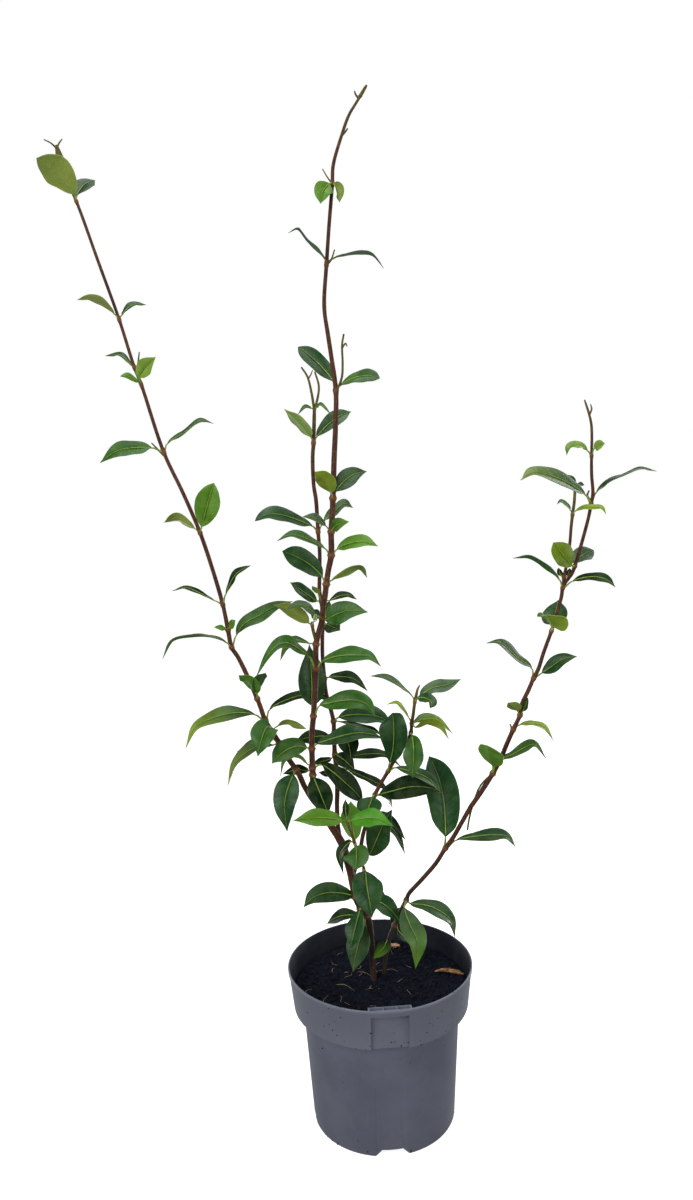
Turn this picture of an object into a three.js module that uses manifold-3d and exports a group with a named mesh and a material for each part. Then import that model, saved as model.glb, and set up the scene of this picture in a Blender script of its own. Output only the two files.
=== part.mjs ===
// A star jasmine in a plain round nursery pot: millimetres, +Z up, front at -Y, origin at the middle of the pot's base.
import * as THREE from "three";
import Module from "manifold-3d";

const wasm = await Module();
wasm.setup();
const { Manifold, Mesh } = wasm;

// Driving dimensions of the pot and the soil
const POT_HEIGHT = 119;
const BASE_RADIUS = 53.8;
const BODY_TOP_RADIUS = 59.4;
const BODY_TOP_Z = 87.9;
const BAND_LOW_RADIUS = 66.2;
const BAND_LOW_Z = 88.3;
const RIM_RADIUS = 70;
const WALL = 1.4;
const FLOOR = 2;
const PANEL_WIDTH = 27.8;
const PANEL_LOW_Z = 82;
const PANEL_HIGH_Z = 114;
const PANEL_DEPTH = 3;
const BOSS_TOP_Z = POT_HEIGHT - 1.2;
const PANEL_TURN = 4;
const NOTCH_WIDTH = 26;
const NOTCH_TOP_WIDTH = 15;
const NOTCH_HEIGHT = 5.5;
const SOIL_TOP_Z = 103;
const AROUND = 48;

// Driving dimensions of the plant
const GAP = 0.35;
const STEM_SIDES = 6;
const FINEST_DETAIL = 0.04;
const COLLAR_WALL = 0.85;
const COLLAR_HALF_LENGTH = 1.7;
const STALK_RADIUS = 0.65;
const BLADE_THICKNESS = 0.9;
const BLADE_FOLD = 0.22;
const FOOT_Z = 78;

// Half-width of a blade along its length, as a share of the widest
const OUTLINE = [
  [0, 0.1], [0.14, 0.6], [0.35, 0.96], [0.55, 0.97], [0.78, 0.62], [0.9, 0.28], [1, 0.04],
];

// Routes are read as x, z on the plane y = 0 from a front point, with the depth y of each place after them.
const FRONT_POINT = new THREE.Vector3(-16, -654, 463);

// The canes: the piece each belongs to, its route from the soil up, and its radius at some heights
const CANES = {
  left: {
    piece: "stem",
    radius: [[103, 2.3], [160, 2.7], [215, 2.7], [240, 1.8], [270, 1.7], [320, 1.5], [400, 1.3], [500, 1.15],
      [600, 1], [682, 0.9], [718, 0.7]],
    route: [
      [-5, FOOT_Z, 0], [-5, 103, 0], [-5.8, 129, 0], [-7.3, 150, -1], [-9.5, 157, -2], [-13, 162, -3],
      [-15.8, 168, -3.5], [-18, 178, -4.5], [-20, 190, -5], [-23, 203, -5], [-25.5, 212, -5], [-29, 219, -5],
      [-33.3, 226, -4], [-38, 234, -3], [-41.9, 241, -2.5], [-47, 248, -2], [-51.9, 257, -1], [-55.5, 266, 0],
      [-58.5, 271.5, 1], [-62.5, 277.8, 1.5], [-67, 286, 2.5], [-71.3, 294.3, 3.5], [-74.5, 300, 4],
      [-79, 308, 4.5], [-82.7, 320, 6], [-85.5, 328, 6.5], [-88.5, 336, 7], [-92, 345, 8], [-97.4, 357, 9.5],
      [-101.5, 364, 10], [-103.5, 377, 11], [-106.5, 396, 13], [-113, 423, 14.5], [-120.5, 449, 16],
      [-131, 477, 18], [-143.5, 507, 20], [-157, 555.5, 22], [-161, 567, 22], [-170, 601, 24],
      [-182, 640, 24], [-195, 682, 24], [-201, 697, 23], [-206, 710, 21], [-207, 718, 20],
    ],
  },
  middle: {
    piece: "stem",
    radius: [[247, 1.75], [310, 1.6], [430, 1.6], [500, 1.5], [600, 1.1], [700, 0.95], [751, 0.7]],
    route: [
      [-46.5, 247, -2], [-46, 256, -2], [-45.6, 267, -2], [-45.5, 286, -3], [-44.8, 299, -3],
      [-43.4, 310.5, -3], [-42.3, 322, -3.5], [-41.3, 331, -4], [-40.2, 346, -5], [-39.5, 363.5, -5.5],
      [-38.5, 368, -5.5], [-36.2, 376, -6], [-34.6, 381, -6], [-33.4, 390, -6.5], [-31.5, 400, -7.5],
      [-30.3, 408, -8], [-28.5, 418, -8], [-26, 429, -8.5], [-25.4, 446, -9], [-24.2, 458, -9],
      [-23.3, 470, -9], [-21.3, 500, -9.5], [-19.7, 520, -10], [-18.5, 546, -10], [-20.9, 570, -10],
      [-22.8, 586, -11], [-24.5, 600, -11], [-24.5, 610, -12], [-22, 634, -12], [-19.3, 660, -13],
      [-16, 688, -14], [-15, 700, -14], [-8, 721, -13], [-3, 733, -13], [3, 742, -12], [8.5, 750, -12],
    ],
  },
  inner: {
    piece: "stem",
    radius: [[218, 1.4], [306, 1.2], [360, 1.05], [540, 1]],
    route: [
      [-27.3, 218, -5], [-28.3, 228, 0], [-28.3, 242, 5], [-27.6, 256, 9], [-27.8, 270, 12], [-28.6, 281, 14],
      [-28.6, 298, 15.5], [-28.7, 306, 16], [-30.2, 314, 16.5], [-32, 320.5, 17], [-33.6, 329, 17.5],
      [-34.3, 340, 18], [-35, 355, 17.5], [-34.5, 371, 16], [-33.8, 380, 15], [-34.5, 396, 13],
      [-35.5, 403, 13], [-35.2, 411, 13], [-34.3, 431, 13.5], [-34.9, 446.5, 14], [-35.2, 460, 15],
      [-35.6, 470, 15], [-36.8, 480, 16], [-36.8, 500, 17], [-35.8, 510, 18], [-34.3, 533.5, 20],
    ],
  },
  front: {
    piece: "stem",
    radius: [[174, 1.1], [229, 0.9]],
    route: [
      [-17, 174, -4], [-12.5, 181, -8], [-9.8, 191, -12], [-12.5, 201, -16], [-16, 212, -19],
      [-18.3, 220, -21], [-21, 229, -22], [-21.6, 232, -22.5],
    ],
  },
  short: {
    piece: "stem",
    radius: [[184, 1.35], [249, 1.1], [326, 0.8]],
    route: [
      [-18.8, 184, -4.5], [-15.5, 195, 0], [-12.5, 205, 3], [-9.5, 219, 5], [-6, 230, 6], [-2.5, 241, 6],
      [0.2, 249, 6], [5.5, 258.5, 5], [10.8, 267, 3], [15.7, 275, 1], [21, 282.5, -1], [25.5, 289, -3],
      [28.4, 295.5, -4], [29.2, 302.5, -6], [30.6, 310, -7.5], [31.9, 318.5, -9], [33.8, 326.5, -10],
    ],
  },
  right: {
    piece: "right_stem",
    radius: [[103, 1.8], [170, 1.6], [270, 1.6], [333, 1.35], [368, 1.15], [401, 1.15], [467, 1.1], [534, 0.7]],
    route: [
      [2.5, FOOT_Z, 7], [2.5, 103, 7], [4, 118, 7], [7.5, 136, 6], [12, 147, 5], [18.5, 161, 3],
      [21.5, 166.5, 2], [23.3, 171, 1.5], [33, 181.5, -1], [44.3, 194.2, -4], [52, 206, -6],
      [57.7, 213.7, -7.5], [64.3, 224.8, -10], [71.4, 236.8, -12], [79.3, 248, -14], [88.7, 262.5, -16],
      [95, 274, -17.5], [98.8, 283, -19], [104.4, 295.3, -20], [109.5, 306, -20.5], [111, 314, -21],
      [115.8, 324, -21.5], [120, 333.3, -22], [123.5, 340, -22.5], [127.5, 352, -23], [133.5, 368, -24],
      [138.6, 384, -24.5], [141, 392.8, -25], [142.6, 401, -25], [148.7, 409.5, -26], [151, 415, -26],
      [156.7, 433.6, -27], [161.5, 451.2, -27.5], [163.2, 460, -28], [164.5, 467, -28.5],
      [163.7, 480.5, -29], [163.7, 494.3, -30], [164, 508, -30], [163.6, 517, -30], [161.9, 524.6, -30],
      [158.9, 534, -30],
    ],
  },
  twig: {
    piece: "right_stem",
    radius: [[401, 1], [474, 0.9]],
    route: [
      [142.6, 401, -25], [143, 407, -24], [145.2, 417, -21], [147.5, 431.6, -19], [148.6, 443.7, -18],
      [149.7, 452.6, -17], [151, 461.5, -16], [151.6, 470, -15], [152, 474, -15],
    ],
  },
  stub: {
    piece: "stem",
    radius: [[366, 1.2], [380, 1]],
    route: [[-39.3, 366.5, -5.5], [-41.4, 375.5, -6], [-41.9, 381, -6]],
  },
};

// Shoot tips, buds and one dead stalk: the piece, the radius at each end, and the route
const BITS = [
  ["stem", 0.8, 0.35, [[-159, 562, 22], [-158.6, 568, 21], [-157, 578, 20]]],
  ["stem", 0.7, 0.35, [[-142.8, 504, 20], [-147.5, 509, 19], [-152, 514, 18]]],
  ["stem", 2.1, 0.7, [[-203.4, 708.5, 21.4], [-204.3, 713, 20.8], [-206.4, 720, 20]]],
  ["stem", 0.6, 0.3, [[-206.2, 717.5, 20], [-210, 721.3, 18], [-215, 724, 16]]],
  ["stem", 0.6, 0.3, [[-206, 718, 20], [-204.6, 721, 21], [-202.2, 723.8, 23]]],
  ["stem", 1, 0.5, [[5, 745, -12], [9, 751, -12], [10, 752.5, -12]]],
  ["stem", 0.6, 0.35, [[4, 744, -12], [2, 747, -13], [1.5, 749, -14]]],
  ["stem", 0.7, 0.5, [[-18.5, 545, -10], [-14, 555, -13], [-13, 565, -14], [-13, 578, -14], [-11.5, 585.5, -14]]],
  ["stem", 0.6, 0.3, [[-13, 576, -14], [-10.5, 579, -15], [-9.5, 577, -17]]],
  ["stem", 0.6, 0.35, [[-22, 633, -12], [-18.5, 637, -14], [-16, 643.5, -14]]],
  ["stem", 0.5, 0.3, [[-16, 688, -14], [-19, 692, -12], [-22.5, 698, -10]]],
  ["stem", 0.6, 0.35, [[-8, 720, -13], [-5.5, 722.5, -11], [-4, 724.5, -11]]],
  ["stem", 0.8, 0.5, [[-34.3, 532, 20], [-36, 546, 22], [-38.5, 557, 24], [-42.5, 563.5, 24]]],
  ["stem", 0.8, 0.5, [[-34.3, 532, 20], [-30.5, 549, 22], [-33, 560, 24]]],
  ["stem", 0.5, 0.3, [[-38, 555, 24], [-36, 558, 25], [-34.6, 561, 27]]],
  ["stem", 0.8, 0.4, [[33.4, 325, -10], [34.4, 328.5, -10], [36, 331, -10]]],
  ["right_stem", 0.7, 0.4, [[163.5, 461, -28], [160.5, 466, -30], [161.8, 469.5, -31]]],
  ["right_stem", 0.7, 0.4, [[104.4, 295.3, -20], [103, 297, -19], [102, 299.5, -18]]],
  ["right_stem", 0.6, 0.3, [[162.2, 523, -30], [164, 527.5, -29], [163.2, 530.6, -28]]],
  ["right_stem", 0.55, 0.5, [[88.7, 262.5, -16], [84, 258.5, -15], [79, 253, -14], [74, 241, -10],
    [70.5, 229, -6], [68.8, 219.5, -4]]],
];

// Leaves at the nodes of the canes. A row holds the piece's name ("" where the leaves are one with the cane),
// the cane, the lowest and highest height its collar clasps, and the leaves. A leaf holds its width, how much
// of its upper face looks to the front at its base and at its tip (1 all, 0 edge on, -1 the underside), its
// tone, the tone of its tip, and its route from the base of the blade to the tip.
const LEAVES = [
  ["left_pair_682", "left", 682, 682, [
    [21, -0.95, -0.95, "olive", "olive", [[-196, 686.5, 22], [-202, 697, 18], [-210.5, 705.5, 12], [-221, 712.5, 4]]],
    [15, 0.65, 0.65, "dark", "dark", [[-194.8, 685.7, 26], [-188.9, 693.5, 36], [-180.9, 696.5, 46]]],
  ]],
  ["left_pair_601", "left", 601, 601, [
    [12, -0.45, -0.45, "olive", "olive", [[-173, 605, 22], [-181, 613, 16], [-190, 617, 10], [-199, 616, 6]]],
    [9, 0.4, 0.4, "dark", "dark", [[-168, 604, 26], [-160, 611, 32], [-150, 611, 38]]],
  ]],
  ["", "left", 567, 567, [
    [9, 0.4, 0.4, "dark", "dark", [[-163, 568.9, 26], [-170.8, 576.6, 34], [-181.8, 576.6, 42]]],
  ]],
  ["left_pair_555", "left", 555.5, 555.5, [
    [12, 0.95, 0.95, "bright", "bright", [[-158.5, 559.8, 18], [-154.2, 566.9, 12], [-146.2, 573.9, 5]]],
    [8, 0.55, 0.55, "bright", "bright", [[-158.5, 557, 20], [-165, 561, 14], [-171.5, 562, 8]]],
  ]],
  ["left_pair_507", "left", 507, 507, [
    [16, 0.7, 0.7, "dark", "dark", [[-152, 510.7, 17], [-164.4, 511.3, 12], [-176.4, 509.8, 6], [-189.9, 501.8, 0]]],
    [13, 0.25, 0.25, "dark", "dark", [[-140.5, 513.5, 22], [-129, 520.5, 27], [-116, 529, 33], [-106.5, 527, 37]]],
  ]],
  ["left_pair_449", "left", 449, 449, [
    [18.5, 0.97, 0.97, "bright", "bright", [[-119.1, 452.8, 13], [-116.1, 462.8, 9], [-112.6, 473.8, 6], [-109.1, 483.8, 4]]],
    [13, -0.5, -0.5, "olive", "olive", [[-124, 452, 18], [-135, 459.5, 23], [-146, 458, 28]]],
  ]],
  ["left_pair_396", "left", 396, 396, [
    [11, 0.3, 0.3, "dark", "dark", [[-112.6, 399.3, 16], [-123.5, 405.6, 20], [-133, 409.6, 25], [-143, 407.6, 29]]],
    [11, 0.4, 0.4, "dark", "dark", [[-104, 403.7, 10], [-96.3, 417.7, 5], [-85.3, 424.2, -2]]],
  ]],
  ["", "left", 377, 377, [
    [5, 0.8, 0.8, "bright", "bright", [[-105, 378, 8], [-113.5, 379.5, 2]]],
    [6.5, 0.85, 0.85, "bright", "bright", [[-102.5, 378.5, 8], [-98.2, 384, 0]]],
  ]],
  ["left_pair_364", "left", 364, 364, [
    [17, 0.2, -0.3, "mid", "mid", [[-105, 368, 8], [-115, 373, 4], [-130, 374, -2], [-145, 371, -8],
      [-153.5, 358, -12]]],
    [17, 0.6, 0.6, "mid", "dark", [[-97.6, 373.3, 12], [-91.6, 381.6, 15], [-79.6, 387.6, 19], [-67.6, 394.1, 22],
      [-55.6, 397.1, 24]]],
  ]],
  ["left_pair_325", "left", 325, 325, [
    [13, -0.7, -0.7, "mid", "mid", [[-84.4, 329, 2], [-89.3, 338.4, -8], [-97.3, 343.9, -18]]],
    [12, -0.7, -0.7, "mid", "mid", [[-84.3, 329.5, 2], [-82.4, 339.4, -7], [-77.4, 344.9, -15]]],
  ]],
  ["left_pair_308", "left", 308, 308, [
    [18, 0.55, 0.55, "dark", "yellow", [[-86.8, 313.5, 2], [-96.8, 315.5, -2], [-106.8, 315, -6], [-119.8, 311.5, -10],
      [-131.8, 305.5, -13], [-140.3, 290, -15]]],
    [17, 0.4, 0.4, "dark", "dark", [[-75.5, 317, 8], [-64, 323.5, 12], [-50, 327, 14], [-38, 326, 13],
      [-28.5, 321, 12]]],
  ]],
  ["left_group_291", "left", 291, 300, [
    [20, 0.9, 0.9, "mid", "mid", [[-76, 304, -4], [-79, 303, -14], [-83, 294, -22], [-86.5, 281.5, -24]]],
    [13, 0.2, -0.8, "pale", "pale", [[-71.5, 303.5, 2], [-66, 306, 0], [-58, 305, -3], [-48.5, 301.5, -6]]],
    [12, 0.4, 0.4, "mid", "mid", [[-75, 294.5, 6], [-88, 293, 12], [-101.5, 286, 18]]],
    [15, 0.45, 0.45, "dark", "olive", [[-74, 290, 0], [-85, 289.5, -4], [-95, 285, -8], [-104, 276.5, -12],
      [-110.5, 260, -15]]],
  ]],
  ["left_leaf_270", "left", 270, 270, [
    [20, 0.95, 0.95, "dark", "dark", [[-60, 266.8, -4], [-64.7, 256.6, -10], [-67.7, 243.6, -15], [-66.7, 222.6, -17]]],
  ]],
  ["left_pair_171", "left", 171, 171, [
    [18, 0.8, 0.8, "dark", "dark", [[-18.7, 171.3, -5], [-27.3, 174, -9], [-39.3, 174.5, -14], [-49.3, 171, -19],
      [-56.7, 164.5, -24]]],
    [9, 0.8, 0.8, "vdark", "vdark", [[-9, 172.5, 6], [0, 173, 13], [7.5, 169, 18]]],
  ]],
  ["left_group_155", "left", 155, 162, [
    [15, 0.85, 0.85, "grey", "grey", [[-14, 160, -9], [-17, 150, -17], [-20, 139, -22], [-22.3, 129.5, -24]]],
    [15, 0.9, 0.9, "dark", "dark", [[-6, 167, 0], [2, 165.5, -2], [9, 160, -4], [18, 148, -5]]],
    [13, 0.7, 0.7, "dark", "dark", [[-15, 156, 3], [-25, 156.5, 9], [-33, 154.5, 14], [-40, 150.2, 18]]],
    [19, 0.9, 0.9, "grey", "grey", [[-11, 147, -6], [-14.5, 138, -10], [-18, 126, -13], [-21.3, 110.5, -14]]],
  ]],
  ["middle_group_266", "middle", 266, 271.5, [
    [19, 0.93, 0.93, "dark", "dark", [[-44.8, 264, -6], [-41.5, 255, -13], [-38, 245, -17], [-34.5, 235.5, -19]]],
    [9, 0.8, 0.8, "vdark", "vdark", [[-48.5, 269.3, 3], [-57, 270.5, 8], [-68.3, 267.7, 12]]],
    [11, -0.35, -0.35, "pale", "pale", [[-49, 274.5, 1], [-54.5, 280, 5], [-60.5, 281.5, 7], [-66.5, 277.5, 8],
      [-70.5, 266, 8]]],
    [17, 0.85, 0.85, "dark", "dark", [[-38.5, 273.5, -3], [-30, 267.5, -3], [-20, 258, 0], [-12.5, 250, 3],
      [-8, 243, 6]]],
  ]],
  ["middle_pair_286", "middle", 286, 286, [
    [16, 0.95, 0.95, "mid", "mid", [[-49, 286.8, -5], [-56, 288.5, -11], [-64, 286, -16], [-71, 281, -20],
      [-75.9, 275.9, -22]]],
    [19, 0.6, 0.6, "dark", "dark", [[-42, 289.5, -5], [-30, 293.5, -9], [-15, 297, -10], [-3, 296.5, -9],
      [8, 293, -6]]],
  ]],
  ["middle_pair_310", "middle", 310.5, 310.5, [
    [22, 0.95, 0.95, "vdark", "vdark", [[-44, 318, 2], [-43.5, 330, 5], [-43.5, 345, 8], [-44, 364, 10]]],
    [17, 0.8, 0.8, "mid", "yellow", [[-38.5, 318.5, -6], [-30, 320.5, -10], [-20, 322, -14], [-10, 321.5, -17],
      [-2, 317.5, -19], [3.2, 309, -20]]],
  ]],
  ["middle_pair_346", "middle", 346, 346, [
    [18, 0.45, 0.45, "mid", "mid", [[-44.5, 355.5, -9], [-52, 361.5, -14], [-60, 366.5, -18], [-68, 365, -21],
      [-76, 357, -24], [-85.5, 342.5, -27]]],
    [18, 0.6, 0.6, "bright", "bright", [[-36, 351, -8], [-28, 354.5, -13], [-18, 355.8, -17], [-8, 355.5, -20],
      [0, 354.5, -22], [8.3, 347, -24]]],
  ]],
  ["", "middle", 364, 364, [
    [12, 0.45, 0.45, "mid", "mid", [[-44.5, 365.2, -2], [-54.8, 368.2, 1], [-61.8, 363.2, 2], [-66.8, 353.2, 2]]],
  ]],
  ["stub_pair_379", "stub", 378.5, 378.5, [
    [13, -0.8, -0.8, "olive", "olive", [[-44, 380, -6], [-50, 385.5, -7], [-58, 391, -8], [-69, 394.5, -9]]],
    [4.5, 0.8, 0.8, "bright", "bright", [[-40.5, 381, -12], [-38.3, 386.5, -21]]],
  ]],
  ["middle_pair_383", "middle", 383, 383, [
    [12, 0.5, 0.5, "grey", "grey", [[-38, 385.5, -10], [-44, 391.5, -15], [-51, 394.5, -18], [-60.5, 391, -21]]],
    [17, 0.93, 0.93, "mid", "mid", [[-32, 382, -8], [-25, 385.5, -12], [-15, 388.5, -16], [-1, 387, -21]]],
  ]],
  ["middle_pair_408", "middle", 408, 408, [
    [16, 0.97, 0.97, "dark", "dark", [[-33, 413.5, -10], [-41, 422.4, -15], [-51, 428.9, -19], [-61, 433.4, -22]]],
    [12, -0.4, -0.4, "olive", "grey", [[-26.5, 411, -7], [-15, 416.5, -3], [-5, 419, 0], [0.2, 412.5, 2]]],
  ]],
  ["middle_pair_429", "middle", 429, 429, [
    [13, 0.4, 0.4, "bright", "bright", [[-30.5, 434.5, -10], [-40, 440.5, -15], [-53.5, 445.5, -20],
      [-65, 442, -24]]],
    [14, 0.65, 0.65, "bright", "bright", [[-21.8, 433.3, -10], [-12.6, 437.6, -14], [-1.6, 438.6, -18], [8.2, 435.6, -21]]],
  ]],
  ["middle_pair_446", "middle", 446, 446, [
    [9, 0.6, 0.6, "grey", "grey", [[-29, 450.5, -11], [-36, 456.5, -14], [-45.5, 458.3, -17]]],
    [10, 0.85, 0.85, "bright", "bright", [[-24.5, 447.8, -12], [-21.4, 451, -17], [-12.7, 453.3, -23]]],
  ]],
  ["middle_pair_470", "middle", 470, 470, [
    [14, -0.9, -0.9, "yellow", "yellow", [[-24.3, 474, -14], [-27, 481, -22], [-30.5, 486, -28], [-36, 490.3, -32]]],
    [14, 0.93, 0.93, "grey", "grey", [[-21.3, 474.7, -9], [-15.7, 481.5, -8], [-7.7, 487, -7], [1.8, 488.9, -6]]],
  ]],
  ["middle_pair_546", "middle", 546, 546, [
    [14, 0.9, 0.9, "dark", "dark", [[-19.7, 552.3, -5], [-27.3, 562.9, 1], [-36.3, 571.9, 6], [-44.3, 578.4, 10]]],
    [12, -0.5, 0.7, "mid", "grey", [[-15.3, 550, -12], [-6.5, 554.9, -16], [3.5, 556.4, -20], [13, 554.4, -24]]],
  ]],
  ["middle_pair_634", "middle", 634, 634, [
    [13, -0.3, -0.3, "mid", "mid", [[-22.3, 636.7, -13], [-27.3, 643.3, -18], [-34.3, 650.3, -22], [-41.3, 658.8, -26],
      [-48.3, 656.8, -29]]],
    [12, -0.25, -0.25, "mid", "mid", [[-18, 637.5, -11], [-8, 640.5, -6], [2, 641, -1], [11, 639.5, 3],
      [19, 630.5, 6]]],
  ]],
  ["middle_pair_688", "middle", 688, 688, [
    [13, 0.95, 0.95, "bright", "bright", [[-18, 688.3, -18], [-22.5, 683.9, -22], [-25, 675.4, -24]]],
    [10, -0.65, -0.65, "olive", "olive", [[-14.5, 687.5, -16], [-11, 683, -20], [-10.7, 675, -22]]],
  ]],
  ["", "inner", 533, 533, [
    [4.5, 0.6, 0.6, "mid", "mid", [[-36, 534.5, 18], [-40.5, 536, 14], [-46.5, 530.5, 10]]],
    [4.5, 0.6, 0.6, "mid", "mid", [[-33, 535, 18], [-29.5, 537, 14], [-22.5, 530, 10]]],
  ]],
  ["inner_pair_510", "inner", 510, 510, [
    [13, -0.65, -0.65, "olive", "olive", [[-37.3, 514, 17], [-44.5, 524.2, 11], [-55.5, 535.2, 5]]],
    [13, 0.85, 0.85, "grey", "grey", [[-33.5, 514.3, 19], [-24, 523.9, 22], [-15, 529.4, 25], [-8, 531.9, 28]]],
  ]],
  ["inner_pair_446", "inner", 446.5, 446.5, [
    [17, 0.55, 0.55, "dark", "dark", [[-39, 451, 12], [-48, 455.3, 8], [-60, 459.8, 3], [-71, 460.8, -2],
      [-80.5, 456.8, -6]]],
    [12, 0.6, 0.6, "grey", "grey", [[-30.5, 454, 16], [-23, 460.5, 19], [-15, 466.5, 22], [-8.5, 463.5, 24]]],
  ]],
  ["inner_pair_396", "inner", 396, 396, [
    [12, 0.75, 0.75, "dark", "dark", [[-37.2, 396.1, 11], [-43.4, 400.6, 8], [-50.4, 406.1, 5], [-55.9, 410.6, 2]]],
    [11, 0.45, 0.45, "dark", "dark", [[-28.7, 396.2, 13], [-21.4, 399.4, 15], [-14.4, 399.9, 17], [-7.9, 396.9, 19]]],
    [6, -0.7, -0.7, "olive", "olive", [[-36, 401, 9], [-40.5, 407.5, 3]]],
  ]],
  ["inner_pair_379", "inner", 379, 379, [
    [13, 0.85, 0.85, "dark", "dark", [[-31.5, 379, 10], [-27, 376.8, 4], [-21.7, 374.5, -2]]],
    [9, 0.9, 0.9, "dark", "dark", [[-36.5, 383.5, 13], [-42, 389, 10]]],
    [8, 0.9, 0.9, "mid", "mid", [[-31.5, 386, 12], [-28.5, 395.5, 8]]],
  ]],
  ["", "inner", 338, 338, [
    [13, 0.65, 0.65, "dark", "dark", [[-31, 339.5, 18], [-22, 339.7, 18], [-12, 337.5, 17], [-2.2, 328.5, 15]]],
  ]],
  ["inner_group_297", "inner", 297, 306, [
    [19, 0.7, 0.7, "dark", "dark", [[-25, 309, 14], [-15, 311, 12], [-3, 310.5, 10], [7, 308, 8], [16, 301, 6]]],
    [12, 0.3, 0.3, "grey", "grey", [[-24.5, 306, 12], [-10, 302.5, 5], [0, 299, 0], [8, 294.5, -3]]],
    [16, 0.9, 0.9, "vdark", "vdark", [[-25.5, 296, 12], [-20, 292.5, 6], [-17.2, 285, 2], [-16.5, 275, 0]]],
    [13, 0.8, 0.8, "vdark", "vdark", [[-32, 295.5, 15], [-40, 295.5, 14], [-49, 294.5, 12], [-57.5, 292.5, 10]]],
  ]],
  ["inner_group_281", "inner", 281, 281, [
    [15, 0.45, 0.45, "vdark", "vdark", [[-25.5, 280, 16], [-14, 280, 18], [-2, 281, 19], [10, 279.5, 19],
      [21, 270.5, 18]]],
    [9, 0.6, 0.6, "vdark", "vdark", [[-31, 278.5, 14], [-38, 276.3, 12], [-46, 274.6, 10]]],
    [14, 0.8, 0.8, "vdark", "vdark", [[-27.5, 281, 11], [-22, 277, 8], [-13.5, 268.5, 4]]],
  ]],
  ["inner_pair_270", "inner", 270, 270, [
    [13, 0.5, 0.5, "dark", "dark", [[-20.9, 269.9, 14], [-10.6, 265.1, 15], [-2.6, 261.1, 16], [5.4, 256.6, 16],
      [11.9, 252.1, 15]]],
    [7, 0.7, 0.7, "vdark", "vdark", [[-30.5, 268.5, 12], [-35, 266.5, 11], [-41, 268, 9]]],
  ]],
  ["front_pair_229", "front", 229, 229, [
    [15, 0.85, 0.85, "bright", "bright", [[-24.5, 230.3, -25], [-35.2, 232.7, -30], [-47.2, 233.2, -34],
      [-61.5, 231.8, -38]]],
    [15, 0.87, 0.87, "vivid", "vivid", [[-18.5, 230, -25], [-9, 231.5, -30], [0, 231.5, -33], [13.7, 225, -37]]],
    [5.3, 0.9, 0.9, "vdark", "vdark", [[-21.5, 232.5, -24], [-22, 239, -25], [-21.8, 246.5, -25]]],
  ]],
  ["front_group_212", "front", 212, 212, [
    [17, 0.95, 0.95, "light", "light", [[-15.7, 215, -15], [-17, 226, -12], [-18.3, 236, -11], [-17.6, 244.5, -11]]],
    [19, 0.95, 0.95, "bright", "bright", [[-15.5, 210, -24], [-15, 205, -31], [-15.5, 198, -36], [-16.5, 191, -38]]],
    [13, 0.5, 0.5, "vdark", "vdark", [[-18.5, 213.8, -17], [-23.5, 210.5, -16], [-27.8, 203.5, -15],
      [-26.1, 187.7, -14]]],
  ]],
  ["front_leaf_191", "front", 191, 191, [
    [24, 0.95, 0.95, "mid", "mid", [[-8.6, 190, -20], [-8, 181, -30], [-6.5, 169, -36], [-4.1, 153, -38]]],
  ]],
  ["short_leaf_203", "short", 203, 203, [
    [20, 0.93, 0.93, "dark", "dark", [[-6, 203, -6], [0, 214, -12], [5, 225, -15], [12, 237, -16]]],
  ]],
  ["short_pair_232", "short", 232, 232, [
    [11, 0.7, 0.7, "vdark", "vdark", [[0, 233.5, 9], [7, 232, 11], [15, 224, 12], [22.8, 214, 12]]],
    [11, 0.6, 0.6, "dark", "dark", [[0, 230.5, 4], [8, 227, 2], [16, 218.5, 0], [22.3, 202.5, -2]]],
  ]],
  ["short_group_249", "short", 249, 249, [
    [20, 0.93, 0.93, "grey", "grey", [[-1.8, 247.5, 1], [-3.5, 243, -3], [-6.5, 236, -6], [-10, 227, -8]]],
    [19, 0.88, 0.88, "vdark", "vdark", [[3.5, 249.5, 4], [14, 252, 1], [26, 254.5, -1], [38, 254, -2],
      [51, 250.5, -2]]],
    [7, 0.5, 0.5, "dark", "dark", [[6, 248, 9], [10.5, 246, 11], [13.5, 238, 13]]],
  ]],
  ["short_pair_267", "short", 267, 267, [
    [21, 0.95, 0.95, "dark", "dark", [[12, 273.5, -3], [14.5, 283, -9], [15.5, 295, -13], [15.5, 305, -12],
      [14.5, 312, -5]]],
    [14, 0.55, 0.55, "grey", "grey", [[16.5, 269.5, 0], [26, 267, -4], [36, 263.5, -7], [45, 257, -9],
      [50.8, 249.3, -10]]],
  ]],
  ["short_group_295", "short", 295.5, 302.5, [
    [15.5, 0.93, 0.93, "mid", "mid", [[29, 293.5, -14], [30, 284, -25], [29.5, 273, -28], [28, 261, -29]]],
    [10, -0.5, -0.5, "yellow", "yellow", [[32, 299.5, -8], [40, 303, -12], [50, 300.5, -16], [57, 289.5, -20]]],
    [8, 0.35, 0.35, "yellow", "yellow", [[27.3, 307, -7], [23.5, 313.5, -10], [18, 318.5, -13], [11, 318, -16]]],
    [12, 0.55, 0.55, "mid", "yellow", [[31, 303.2, -4], [37.8, 305.7, 0], [47.8, 305.2, 4], [60.3, 294.2, 8]]],
  ]],
  ["short_group_318", "short", 318.5, 318.5, [
    [12, 0.15, 0.5, "grey", "grey", [[29.8, 323.8, -8], [22.1, 330.6, -5], [10.8, 338.6, 0], [-0.4, 340, 4]]],
    [13, 0.75, 0.75, "grey", "grey", [[35.5, 323, -10], [45, 329, -8], [56, 331, -6], [66.2, 335, -4]]],
    [10, 0.8, 0.8, "dark", "dark", [[33.9, 321.5, -13], [39.6, 321.5, -20], [44.6, 318, -26], [43.6, 313.5, -30]]],
  ]],
  ["", "right", 132, 132, [
    [11, 0.9, 0.9, "dark", "bright", [[6, 135, 1], [3, 129.5, -4], [-5, 121, -8]]],
  ]],
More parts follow.
